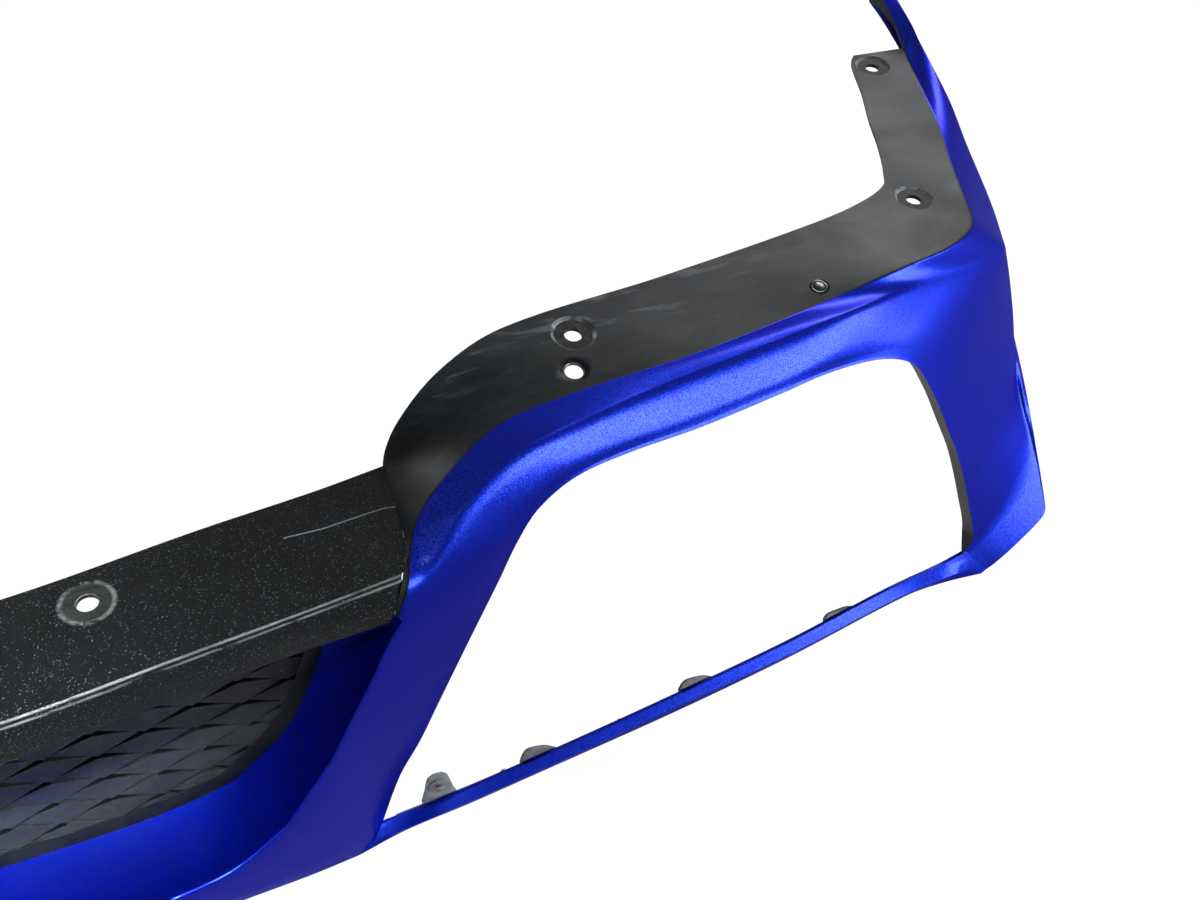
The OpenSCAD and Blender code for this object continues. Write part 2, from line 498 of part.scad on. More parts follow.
// ---- Sub-parts
module bumper_skin() {
    flange_end = len(flange_at) - 1;
    pieces = concat(
        both_sides(band_patch, [[0, 0, column_of(foot0)], [0, column_of(foot1), column_of(heel0)],
            [3, 0, len(band_patch[0]) - 1]]),
        both_sides(chamfer_patch, [[3, 0, 2], [1, flange_end, len(chamfer_at) - 1]]),
        both_sides(flange_patch, [[1, 0, flange_end], [3, 0, 3]]),
        both_sides(side_patch, [[1, 0, side_parts]]),
        both_sides(scoop_patch, [[1, 0, len(mouth_edge) - 1], [3, 0, 4]]),
        both_sides(strip_patch, [[0, 0, len(strip_columns) - 1], [1, 0, len(strip_columns) - 1]]));
    color("mediumblue") difference() {
        union() {
            closed(pieces);
            both() for (h = clip_seats) on_flange(h) seat_boss(seat_d);
            both() on_flange(clip_place) seat_boss(clip_seat_d);
            both() for (k = frame_screws) let (p = frame_screw(k))
                backwards([p.x, mouth_y - boss_len, p.y]) cylinder(d = boss_d, h = boss_len);
            both() for (s = carrier_screw_stations) let (p = carrier_screw_point(s), h = carrier_boss_len(s))
                backwards([p.x, p.y - slant_gap - h, p.z]) cylinder(d = carrier_boss_d, h = h);
        }
        both() for (h = clip_seats) on_flange(h) seat_cut(seat_d, clip_hole_d);
        both() on_flange(clip_place) seat_cut(clip_seat_d, free_d(clip_d));
        both() on_flange(open_hole) {
            cylinder(d = clip_hole_d, h = 2 * cut_len, center = true);
            translate([0, 0, -sink_depth])
                cylinder(d1 = clip_hole_d, d2 = clip_hole_d + 2 * sink_rim, h = 4 * sink_depth);
        }
        both() for (k = frame_screws) let (p = frame_screw(k))
            backwards([p.x, mouth_y - boss_len + blind_end, p.y])
                cylinder(d = screw_d + grip_gap, h = boss_len, $fn = 24);
        both() for (s = carrier_screw_stations) let (p = carrier_screw_point(s), h = carrier_boss_len(s))
            backwards([p.x, p.y - slant_gap - h + blind_end, p.z])
                cylinder(d = carrier_screw_d + grip_gap, h = h, $fn = 24);
    }
}

// Rows of the bar from its rear edge over the crease to the lower return
bar_steps = [3, 3, 2, 2];
bar_in = [[0, 0.15, -1], [0, 0.15, -1], [0, 0.15, -1], [0, 0.9, -0.9], [0, 1, 0], [0, 0.9, 0.7],
    [0, 0.1, 0.9]];
// The lower return of the bar runs back and inwards; the stations suit this face height
bar_return = 12;
bar_tuck = 12;
bar_design_h = 30;
bar_stations = [bar_rear, bar_shelf, bar_front, bar_crease, bar_face, bar_lower,
    [for (p = bar_lower) p + [-bar_tuck * p.x / last(bar_lower).x, bar_return, -1]]];
function bar_drop(row) = row < 4 ? 0 : (row == 4 ? 0.5 : 1) * (bar_design_h - bar_face_h);
bar_outer = [for (r = [0:len(bar_stations) - 1])
    [for (p = curve(bar_stations[r], [], bar_steps))
        placed(p) + [-bar_gap * p.x / last(bar_lower).x, 0, bar_drop(r)]]];
bar_inner = [for (r = [0:len(bar_outer) - 1]) [for (p = bar_outer[r]) p + bar_in[r] * bar_wall]];
bar_sides = [[0, 0, len(bar_outer[0]) - 1], [1, 0, len(bar_outer[0]) - 1], [3, 0, len(bar_outer) - 1]];
// Hole in the shelf of the bar and its lean; the web is notched round it
bar_hole = [165, 77, 275];
bar_hole_lean = 10;
notch = [40, 25];
function bar_shelf_z(x) = placed([x, 0, lookup(x, [for (p = bar_shelf) [p.x, p.z]])]).z;
web_half = [for (x = [0:58:290]) [x * cover_w / 1810, bar_shelf_z(x) - bar_wall / 2]];
module centre_bar() {
    hole = placed(bar_hole);
    color("#15181b") difference() {
        union() {
            closed(both_sides([bar_outer, bar_inner], bar_sides));
            upright(mouth_y - web_t, web_t) difference() {
                polygon(concat([for (side = [-1, 1]) [side * last(web_half).x, rail_bottom + web_lift]],
                    reversed(web_half), [for (i = [1:len(web_half) - 1]) [-web_half[i].x, web_half[i].y]]));
                for (side = [-1, 1])
                    translate([side * hole.x - notch.x / 2, bar_shelf_z(bar_hole.x) - notch.y])
                        square([notch.x, 2 * notch.y]);
            }
            for (x = bar_screw_x)
                backwards([x, mouth_y - web_t - web_boss_len, bar_screw_z])
                    cylinder(d = boss_d, h = web_boss_len + web_t / 2);
        }
        for (side = [-1, 1]) translate([side * hole.x, hole.y, hole.z])
            rotate([bar_hole_lean, 0, 0]) cylinder(d = clip_hole_d, h = 4 * bar_wall, center = true);
        for (x = bar_screw_x)
            backwards([x, mouth_y - web_t - web_boss_len + blind_end, bar_screw_z])
                cylinder(d = screw_d + grip_gap, h = cut_len, $fn = 24);
    }
}

// Pegs on the back of the frame that locate the mesh
peg_d = 3;
peg_at = [1, 4, 8, 12];
function peg(i) = let (a = along_2d(mouth_half, i), d = seat_border / 2 - frame_w)
    mouth_half[i] + [a.y, -a.x] * d;
module grille_frame() {
    color("#101214") difference() {
        union() {
            upright(mouth_y, frame_t) difference() {
                polygon(frame_outer);
                polygon(frame_inner);
            }
            both() for (i = peg_at) let (p = peg(i))
                backwards([p.x, mouth_y + frame_t, p.y]) cylinder(d = peg_d, h = floor_t + 1, $fn = 24);
        }
        both() for (k = frame_screws) let (p = frame_screw(k))
            backwards([p.x, mouth_y - frame_t, p.y])
                cylinder(d = free_d(screw_d), h = cut_len, $fn = 24);
        for (x = bar_screw_x)
            backwards([x, mouth_y - frame_t, bar_screw_z])
                cylinder(d = free_d(screw_d), h = cut_len, $fn = 24);
    }
}

module diamond() {
    w = diamond_w / 2 - groove_w * diamond_w / diamond_h / 2 * cos(atan(diamond_h / diamond_w));
    polygon([[w, 0], [0, w * diamond_h / diamond_w], [-w, 0], [0, -w * diamond_h / diamond_w]]);
}
module grille_mesh() {
    z0 = (mouth_half[0].y + rail_bottom) / 2;
    nx = ceil(last(mouth_half).x / diamond_w);
    nz = ceil((rail_bottom - mouth_half[0].y) / diamond_h / 2) + 1;
    color("#3a3d40") union() {
        difference() {
            upright(mouth_y + frame_t, floor_t) polygon(mesh_outer);
            both() for (i = peg_at) let (p = peg(i))
                backwards([p.x, mouth_y, p.y]) cylinder(d = peg_d + 2 * fit_gap, h = cut_len, $fn = 24);
        }
        upright(mouth_y + frame_t - relief_h, relief_h) intersection() {
            polygon(mesh_window);
            for (i = [-nx:nx], j = [-nz:nz], h = [0, 0.5])
                translate([(i + h) * diamond_w, z0 + (j + h) * diamond_h]) diamond();
        }
    }
}

module grille_screws() {
    grip = boss_len - blind_end - tip_gap;
    color("dimgray") both() for (k = frame_screws) let (p = frame_screw(k))
        backwards([p.x, mouth_y - grip, p.y])
            cap_screw(screw_d, screw_head_d, grip + frame_t, screw_head_h);
}
module bar_screws() {
    grip = web_t + web_boss_len - blind_end - tip_gap;
    color("dimgray") for (x = bar_screw_x)
        backwards([x, mouth_y - grip, bar_screw_z])
            cap_screw(screw_d, screw_head_d, grip + frame_t, screw_head_h);
}

// Tabs are drawn with their root on the top of the strip and its slope as their X
tab_root = 6;
module tall_tab_outline() {
    w = tab_w / 2;
    polygon([[-w, -tab_root], [-w, 0], [-0.77 * w, 0.43 * tab_h], [-0.62 * w, 0.8 * tab_h],
        [-0.5 * w, 0.91 * tab_h], [-0.3 * w, 0.98 * tab_h], [0, tab_h], [0.3 * w, 0.96 * tab_h],
        [0.5 * w, 0.87 * tab_h], [0.62 * w, 0.76 * tab_h], [0.77 * w, 0.4 * tab_h],
        [0.85 * w, 0.2 * tab_h], [w, 0], [w, -tab_root]]);
}
module low_tab_outline(h) {
    polygon([[-15, -tab_root], [-15, -2], [-13, 0.4 * h], [-11, 0.8 * h], [-8, h], [-2, 0.9 * h],
        [4, 0.7 * h], [8, 0.45 * h], [15, -2], [15, -tab_root]]);
}
tab_t = carrier_t - 0.4;
carrier_steps = 14;
module on_strip(s) {
    p = carrier_point(s, 1);
    d = carrier_point(s + 0.1, 1) - carrier_point(s - 0.1, 1);
    translate(p) rotate([0, 0, atan2(d.y, d.x)]) rotate([90, 0, 0]) children();
}
grommet_at = [-1, 13.5, 0];
module bezel_carrier() {
    at = [for (k = [0:carrier_steps]) mix(carrier_from, carrier_to, k / carrier_steps)];
    lo = [for (s = at) carrier_point(s, carrier_shares[0])];
    hi = [for (s = at) carrier_point(s, carrier_shares[1])];
    patch = [[lo, hi], [[for (p = lo) p + [0, carrier_t, 0]], [for (p = hi) p + [0, carrier_t, 0]]]];
    sides = [[0, 0, carrier_steps], [1, 0, carrier_steps], [2, 0, 1], [3, 0, 1]];
    difference() {
        union() {
            closed([piece(patch, sides, false)]);
            on_strip(tall_tab) translate([0, 0, -carrier_t]) linear_extrude(tab_t) tall_tab_outline();
            for (tab = low_tabs) on_strip(tab[0])
                translate([0, 0, -carrier_t]) linear_extrude(tab_t) low_tab_outline(tab[1]);
        }
        on_strip(tall_tab) translate(grommet_at) cylinder(d = free_d(clip_d), h = cut_len, center = true);
        for (s = carrier_screw_stations) let (p = carrier_screw_point(s))
            backwards([p.x, p.y - carrier_t, p.z])
                cylinder(d = free_d(carrier_screw_d), h = cut_len, $fn = 24);
    }
}
module bezel_carrier_right() { color("#6b7072") mirror([1, 0, 0]) bezel_carrier(); }
module bezel_carrier_left() { color("#6b7072") bezel_carrier(); }
module carrier_screw_set() {
    for (s = carrier_screw_stations) let (p = carrier_screw_point(s))
        backwards([p.x, p.y - carrier_grip, p.z])
            cap_screw(carrier_screw_d, carrier_head_d, carrier_grip + carrier_t + slant_gap, carrier_head_h);
}
module carrier_screws_left() { color("dimgray") carrier_screw_set(); }
module carrier_screws_right() { color("dimgray") mirror([1, 0, 0]) carrier_screw_set(); }

// Screw grommet in the first tab: head in front, four legs behind
grommet_d = 12;
module tab_grommet() {
    on_strip(tall_tab) translate(grommet_at) difference() {
        union() {
            translate([0, 0, -0.4]) cylinder(d = grommet_d, h = 1.6, $fn = 32);
            translate([0, 0, -8]) cylinder(d = clip_d, h = 8, $fn = 32);
        }
        translate([0, 0, -12]) cylinder(d = 2.6, h = 20, $fn = 24);
        translate([-clip_d, -0.5, -12]) cube([2 * clip_d, 1, 8]);
        translate([-0.5, -clip_d, -12]) cube([1, 2 * clip_d, 8]);
    }
}
module tab_grommet_left() { color("#4a4e50") tab_grommet(); }
module tab_grommet_right() { color("#4a4e50") mirror([1, 0, 0]) tab_grommet(); }

// Push clip: a split body in the flange and a centre pin that pulls out to free it
clip_head_h = 1.6;
clip_len = 14;
pin_len = 13;
pin_head_d = 8;
module flange_clip() {
    on_flange(clip_place) translate([0, 0, -seat_depth]) difference() {
        union() {
            cylinder(d = clip_head_d, h = clip_head_h);
            translate([0, 0, -clip_len]) cylinder(d = clip_d, h = clip_len + 1);
        }
        translate([0, 0, -clip_len - 1]) cylinder(d = pin_d + 0.15, h = 30);
        translate([0, 0, 0.6]) cylinder(d = pin_head_d + 2 * fit_gap, h = 5);
        translate([-clip_d, -0.6, -clip_len - 1]) cube([2 * clip_d, 1.2, 9]);
        translate([-0.6, -clip_d, -clip_len - 1]) cube([1.2, 2 * clip_d, 9]);
    }
}
module clip_pin() {
    on_flange(clip_place) translate([0, 0, -seat_depth]) union() {
        translate([0, 0, -pin_len]) cylinder(d = pin_d, h = pin_len + 1);
        translate([0, 0, 0.6]) cylinder(d = pin_head_d, h = 1.2);
    }
}
module flange_clip_left() { color("#1c1f21") flange_clip(); }
module flange_clip_right() { color("#1c1f21") mirror([1, 0, 0]) flange_clip(); }
module clip_pin_left() { color("#26292b") clip_pin(); }
module clip_pin_right() { color("#26292b") mirror([1, 0, 0]) clip_pin(); }

$fn = 48;
bumper_skin();
centre_bar();
grille_frame();
grille_mesh();
grille_screws();
bar_screws();
bezel_carrier_left();
bezel_carrier_right();
carrier_screws_left();
carrier_screws_right();
tab_grommet_left();
tab_grommet_right();
flange_clip_left();
flange_clip_right();
clip_pin_left();
clip_pin_right();
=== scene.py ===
# %% [markdown]
# # Dressing a front bumper cover
# The solids of this cover come from its source, and their size is a guess. This lesson gives
# them the finishes of a used body part: flake paint over most of the skin, bare moulded
# plastic on the flange that hides under the headlamps, a gloss black bar with silver
# flake, and a grille of folded diamonds. Each step says what the real thing is, how it
# could be made in Blender, and why this way was taken.

import math

import bmesh
import bpy
from mathutils import Matrix, Vector


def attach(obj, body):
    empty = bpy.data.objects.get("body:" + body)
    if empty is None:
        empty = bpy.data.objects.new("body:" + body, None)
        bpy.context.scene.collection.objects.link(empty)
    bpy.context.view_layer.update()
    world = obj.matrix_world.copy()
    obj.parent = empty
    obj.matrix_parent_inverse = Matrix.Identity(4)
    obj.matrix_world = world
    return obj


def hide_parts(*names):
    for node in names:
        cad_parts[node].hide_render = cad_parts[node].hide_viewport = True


MM = 0.001
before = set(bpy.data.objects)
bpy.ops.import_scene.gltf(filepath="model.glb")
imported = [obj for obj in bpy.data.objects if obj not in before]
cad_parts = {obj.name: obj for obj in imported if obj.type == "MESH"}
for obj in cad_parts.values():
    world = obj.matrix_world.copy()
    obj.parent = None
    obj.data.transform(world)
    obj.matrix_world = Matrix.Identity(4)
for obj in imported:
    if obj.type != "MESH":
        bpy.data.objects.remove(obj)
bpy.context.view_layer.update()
bpy.ops.object.select_all(action="DESELECT")

# %% [markdown]
# ## Camera
# The cover lies level and is seen from in front and above, a little from its right, so
# that the scoop, one lamp opening and the headlamp flange all show. A camera has a place,
# a turn and a focal length; naming the three makes the view easy to set again.

# %% Camera
bpy.ops.object.camera_add(
    location=(0.226, -0.728, 0.730),
    rotation=(math.radians(55), 0, math.radians(-23)),
)
camera = bpy.context.object
camera.data.sensor_width = 36
camera.data.lens = 37
camera.data.clip_start = 0.01
bpy.context.scene.camera = camera
bpy.context.scene.view_settings.view_transform = "Standard"

# %% [markdown]
# ## Trees of nodes
# The air, the floor and every finish are trees of nodes. Written out in full, most of their
# lines would be the same, so a few helpers add a node and link it in one call. Each mix of
# two tones, each ramp and each product of masks then takes a single line.

# %% Helpers for materials
def new_material(name):
    """A material with one Principled shader; returns the material, its tree and the shader."""
    material = bpy.data.materials.new(name)
    material.use_nodes = True
    tree = material.node_tree
    return material, tree, tree.nodes["Principled BSDF"]


def add(tree, kind, settings=None, **links):
    """A node with settings by socket or property name; links are given as socket_name=output."""
    node = tree.nodes.new("ShaderNode" + kind)
    for key, value in (settings or {}).items():
        if isinstance(key, str) and hasattr(node, key):
            setattr(node, key, value)
        else:
            node.inputs[key].default_value = value
    for key, output in links.items():
        target = int(key[1:]) if key[0] == "i" and key[1:].isdigit() else key.replace("_", " ")
        tree.links.new(output, node.inputs[target])
    return node


def new_group(name, inputs, outputs):
    """An empty node group with named value or vector sockets."""
    group = bpy.data.node_groups.new(name, "ShaderNodeTree")
    kinds = {"value": "NodeSocketFloat", "vector": "NodeSocketVector"}
    for label, kind, start in inputs:
        socket = group.interface.new_socket(name=label, in_out="INPUT", socket_type=kinds[kind])
        socket.default_value = start
    for label, kind in outputs:
        group.interface.new_socket(name=label, in_out="OUTPUT", socket_type=kinds[kind])
    return group, group.nodes.new("NodeGroupInput"), group.nodes.new("NodeGroupOutput")


def use_group(tree, group, settings):
    """The group placed in a material, with its own values."""
    node = add(tree, "Group")
    node.node_tree = group
    for key, value in settings.items():
        node.inputs[key].default_value = value
    return node


def two_tones(tree, dark, light, mask):
    """A colour that is dark where mask is 0 and light where it is 1."""
    return add(tree, "Mix", {"data_type": "RGBA", 6: (*dark, 1), 7: (*light, 1)},
               i0=mask).outputs[2]


def over(tree, base, colour, mask):
    """Colour laid over base where mask is 1."""
    return add(tree, "Mix", {"data_type": "RGBA", 7: (*colour, 1)}, i0=mask, i6=base).outputs[2]


def ramp(tree, value, start, stop, at_start=0, at_stop=1):
    """Value turned into at_start at start and at_stop at stop, and held beyond them."""
    return add(tree, "MapRange", {"From Min": start, "From Max": stop, "To Min": at_start,
                                  "To Max": at_stop}, Value=value).outputs[0]


def times(tree, a, b):
    return add(tree, "Math", {"operation": "MULTIPLY"}, i0=a, i1=b).outputs[0]


def dress(tree, shader, **looks):
    """Sockets of the shader by name: an output is linked and a value is set."""
    for key, look in looks.items():
        socket = shader.inputs[key.replace("_", " ")]
        if isinstance(look, bpy.types.NodeSocket):
            tree.links.new(look, socket)
        else:
            socket.default_value = look


def seen_or_mirrored(tree):
    """1 for rays that see the surroundings, mirror them or pass glass, and 0 for other rays."""
    rays = add(tree, "LightPath")
    seen = add(tree, "Math", {"operation": "MAXIMUM"}, i0=rays.outputs["Is Camera Ray"],
               i1=rays.outputs["Is Glossy Ray"])
    return add(tree, "Math", {"operation": "MAXIMUM"}, i0=seen.outputs[0],
               i1=rays.outputs["Is Transmission Ray"]).outputs[0]


# %% [markdown]
# ## Studio
# Gloss paint is mostly what it mirrors, so soft boxes stand where the faces mirror them:
# one low at the right, two behind, a wide one at the front left, and a narrow beam over the
# lip. The air and the floor are white to rays that see or mirror them, and dim to the rays
# that light the cover. Glossy faces mirror that white too, and it greys dark finishes. So
# their gloss is low, the boxes are strong, and the colours are darker than they look.

# %% Studio
def soft_box(name, place, aim, size, power):
    """A rectangular lamp at place, turned to face aim."""
    bpy.ops.object.light_add(type="AREA", location=place)
    lamp = bpy.context.object
    lamp.name = name
    lamp.data.shape = "RECTANGLE"
    lamp.data.size, lamp.data.size_y = size
    lamp.data.energy = power
    turn = (Vector(aim) - Vector(place)).to_track_quat("-Z", "Y")
    lamp.rotation_euler = turn.to_euler()
    return lamp


soft_box("low_right_box", (2.65, -2.1, 0.65), (0.6, -0.13, 0.3), (1.8, 1.6), 320)
soft_box("rear_right_box", (2.2, 1.12, 2.52), (0.75, -0.05, 0.3), (1.1, 0.6), 84)
soft_box("rear_left_box", (-0.8, 2.35, 1.5), (0.36, -0.14, 0.3), (1.2, 1.0), 30)
soft_box("front_left_box", (-1.3, -1.9, 2.2), (0.36, -0.14, 0.2), (2.0, 2.0), 16)
lip_box = soft_box("lip_box", (0.02, -0.86, 1.2), (0.02, -0.2, 0.08), (0.3, 0.12), 4.5)
lip_box.data.spread = math.radians(24)

world = bpy.data.worlds.new("studio_air")
world.use_nodes = True
bpy.context.scene.world = world
air = world.node_tree
air.nodes.clear()
dim = add(air, "Background", {"Color": (0.62, 0.66, 0.74, 1), "Strength": 0.2})
white = add(air, "Background", {"Color": (1, 1, 1, 1)})
either = add(air, "MixShader", None, i0=seen_or_mirrored(air), i1=dim.outputs[0],
             i2=white.outputs[0])
add(air, "OutputWorld", None, Surface=either.outputs[0])

# %% Floor
bpy.ops.mesh.primitive_plane_add(size=30, location=(0, 0, -0.0005))
floor = bpy.context.object
floor.name = "studio_floor"
floor_paint, tree, shader = new_material("floor_white")
tree.nodes.remove(shader)
matt = add(tree, "BsdfDiffuse", {"Color": (0.42, 0.44, 0.5, 1)})
faint = add(tree, "BsdfDiffuse", {"Color": (0.08, 0.08, 0.08, 1)})
glow = add(tree, "Emission", {"Color": (1, 1, 1, 1), "Strength": 0.93})
shown = add(tree, "AddShader", None, i0=faint.outputs[0], i1=glow.outputs[0])
lift = add(tree, "MixShader", None, i0=seen_or_mirrored(tree), i1=matt.outputs[0],
           i2=shown.outputs[0])
tree.links.new(lift.outputs[0], tree.nodes["Material Output"].inputs[0])
floor.data.materials.append(floor_paint)

# %% [markdown]
# ## Shared effects
# Three effects turn up on more than one piece. Flake is a bed of tiny mirrors: each cell
# of a Voronoi texture tilts the surface its own way and some of them glint. Scuff is dust
# and rubbing, drawn by noise that is stretched along one direction. Grain is the fine
# leather of moulded plastic. Each is a node group, built once.

# %% Flake group
flake, given, result = new_group(
    "flake",
    [("Size", "value", 900.0), ("Tilt", "value", 0.3), ("Rare", "value", 0.9)],
    [("Normal", "vector"), ("Glint", "value")],
)
place = add(flake, "TexCoord")
cells = add(flake, "TexVoronoi", None, Vector=place.outputs["Object"], Scale=given.outputs["Size"])
apart = add(flake, "VectorMath", {"operation": "SUBTRACT", 1: (0.5, 0.5, 0.5)},
            i0=cells.outputs["Color"])
tilt = add(flake, "VectorMath", {"operation": "SCALE"}, i0=apart.outputs[0],
           Scale=given.outputs["Tilt"])
surface = add(flake, "NewGeometry")
leaning = add(flake, "VectorMath", {"operation": "ADD"}, i0=tilt.outputs[0],
              i1=surface.outputs["Normal"])
level = add(flake, "VectorMath", {"operation": "NORMALIZE"}, i0=leaning.outputs[0])
pick = add(flake, "SeparateColor", None, Color=cells.outputs["Color"])
glint = add(flake, "Math", {"operation": "GREATER_THAN"}, i0=pick.outputs[0],
            i1=given.outputs["Rare"])
flake.links.new(level.outputs[0], result.inputs["Normal"])
flake.links.new(glint.outputs[0], result.inputs["Glint"])

# %% Scuff group
scuff, given, result = new_group(
    "scuff",
    [("Stretch", "vector", (1, 1, 1)), ("Size", "value", 20.0), ("From", "value", 0.5),
     ("To", "value", 0.7)],
    [("Mask", "value")],
)
place = add(scuff, "TexCoord")
pulled = add(scuff, "VectorMath", {"operation": "MULTIPLY"}, i0=place.outputs["Object"],
             i1=given.outputs["Stretch"])
cloud = add(scuff, "TexNoise", {"Detail": 6.0, "Roughness": 0.62, "Distortion": 0.4},
            Vector=pulled.outputs[0], Scale=given.outputs["Size"])
mask = add(scuff, "MapRange", {"interpolation_type": "SMOOTHSTEP"},
           Value=cloud.outputs[0], From_Min=given.outputs["From"],
           From_Max=given.outputs["To"])
scuff.links.new(mask.outputs[0], result.inputs["Mask"])

# %% Grain group
grain, given, result = new_group(
    "grain",
    [("Size", "value", 900.0), ("Depth", "value", 0.1)],
    [("Normal", "vector")],
)
place = add(grain, "TexCoord")
pebbles = add(grain, "TexNoise", {"Detail": 3.0}, Vector=place.outputs["Object"],
              Scale=given.outputs["Size"])
raised = add(grain, "Bump", {"Distance": 0.0004}, Height=pebbles.outputs[0],
             Strength=given.outputs["Depth"])
grain.links.new(raised.outputs[0], result.inputs["Normal"])

# %% [markdown]
# ## Paints and plastics
# The skin is sprayed with a blue base coat full of metal flake under a clear coat. Where
# it was masked, the moulding shows: charcoal, satin, dusty and rubbed. Its back is the
# same plastic with less wear.

# %% Blue flake paint
blue_paint, tree, shader = new_material("blue_flake_paint")
fine = use_group(tree, flake, {"Size": 2300.0, "Tilt": 0.05, "Rare": 0.5})
haze = use_group(tree, scuff, {"Size": 9.0, "From": 0.35, "To": 0.75})
glint = fine.outputs["Glint"]
deep = two_tones(tree, (0.0002, 0.001, 0.10), (0.0002, 0.0015, 0.12), haze.outputs["Mask"])
dress(tree, shader, Base_Color=over(tree, deep, (0.002, 0.011, 0.15), glint),
      Roughness=ramp(tree, glint, 0, 1, 0.52, 0.36), Metallic=ramp(tree, glint, 0, 1, 0.55, 1),
      Normal=fine.outputs["Normal"], Specular_IOR_Level=0.05,
      Specular_Tint=(0.02, 0.07, 0.7, 1), Coat_Weight=0.08, Coat_Roughness=0.22)

# %% Bare flange plastic
bare_plastic, tree, shader = new_material("bare_flange_plastic")
smear = use_group(tree, scuff, {"Stretch": (0.8, 1.2, 1), "Size": 11.0, "From": 0.35, "To": 0.8})
wiped = use_group(tree, scuff, {"Stretch": (0.5, 1.4, 1.4), "Size": 55.0, "From": 0.4, "To": 0.7})
speck = use_group(tree, scuff, {"Size": 520.0, "From": 0.7, "To": 0.76})
chalk = use_group(tree, scuff, {"Stretch": (0.3, 1.6, 1.6), "Size": 75.0, "From": 0.5, "To": 0.68})
place = add(tree, "TexCoord")
past_paint = add(tree, "SeparateXYZ", None, Vector=place.outputs["UV"]).outputs[1]
sideways = add(tree, "SeparateXYZ", None, Vector=place.outputs["Object"]).outputs[0]
from_middle = add(tree, "Math", {"operation": "ABSOLUTE"}, i0=sideways).outputs[0]
near_seat = ramp(tree, from_middle, 0.70, 0.56)
chalked = times(tree, ramp(tree, past_paint, 0.048, 0.075), near_seat)
chalked = times(tree, chalked, chalk.outputs["Mask"])
beside_paint = ramp(tree, past_paint, 0.0022, 0.001)
tone = two_tones(tree, (0.0012, 0.0018, 0.0024), (0.005, 0.007, 0.0088), smear.outputs["Mask"])
for mask, colour, share in ((wiped.outputs["Mask"], (0.011, 0.0135, 0.0155), 0.5),
                            (chalked, (0.045, 0.05, 0.055), 0.8),
                            (speck.outputs["Mask"], (0.12, 0.125, 0.13), 0.8),
                            (beside_paint, (0.001, 0.001, 0.0012), 1)):
    part = add(tree, "Math", {"operation": "MULTIPLY", 1: share}, i0=mask).outputs[0]
    tone = over(tree, tone, colour, part)
skin_grain = use_group(tree, grain, {"Size": 1400.0, "Depth": 0.2})
dress(tree, shader, Base_Color=tone, Roughness=ramp(tree, smear.outputs["Mask"], 0, 1, 0.36, 0.52),
      Normal=skin_grain.outputs[0], Specular_IOR_Level=0.055)

# %% Back of the moulding
back_plastic, tree, shader = new_material("back_of_moulding")
dust = use_group(tree, scuff, {"Size": 12.0, "From": 0.5, "To": 0.8})
tone = two_tones(tree, (0.004, 0.0045, 0.005), (0.012, 0.013, 0.014), dust.outputs["Mask"])
dress(tree, shader, Base_Color=tone, Roughness=0.5, Specular_IOR_Level=0.15)

# %% [markdown]
# ## Ways to make a piece
# Small pieces start as a merged copy of their solid. Seats, holes and bosses are round, so
# a profile is spun about an axis and then added or cut with a boolean, the way a lathe tool
# or a drill would do it. Larger shapes are laid face by face further down. The helpers here
# also join pieces, bevel sharp edges and set smooth shading.

# %% Copy of a solid
MERGE, SPUN_MERGE, TOO_SHORT = 0.00002, 0.000001, 0.00001


def dressed_copy(node, name, body="cover"):
    """A merged copy of a solid's mesh, which takes the place of the solid."""
    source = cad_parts[node]
    piece = bpy.data.objects.new(name, source.data.copy())
    bpy.context.scene.collection.objects.link(piece)
    piece.matrix_world = source.matrix_world.copy()
    piece.data.transform(piece.matrix_world)
    piece.matrix_world.identity()
    piece.data.materials.clear()
    mesh = bmesh.new()
    mesh.from_mesh(piece.data)
    bmesh.ops.remove_doubles(mesh, verts=mesh.verts, dist=MERGE)
    bmesh.ops.dissolve_degenerate(mesh, edges=mesh.edges, dist=TOO_SHORT)
    mesh.to_mesh(piece.data)
    mesh.free()
    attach(piece, body)
    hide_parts(node)
    return piece


def smooth(piece, degrees):
    """Smooth shading, but for edges sharper than the angle."""
    bpy.ops.object.select_all(action="DESELECT")
    piece.select_set(True)
    bpy.context.view_layer.objects.active = piece
    bpy.ops.object.shade_smooth_by_angle(angle=math.radians(degrees))


# %% Turned pieces and cuts
TURN_STEPS, BEVEL_STEPS = 48, 2


def piece_of(mesh, name, finishes):
    """The object of a worked mesh, with its finishes."""
    made = bpy.data.meshes.new(name)
    mesh.to_mesh(made)
    mesh.free()
    piece = bpy.data.objects.new(name, made)
    bpy.context.scene.collection.objects.link(piece)
    for finish in finishes:
        made.materials.append(finish)
    return piece


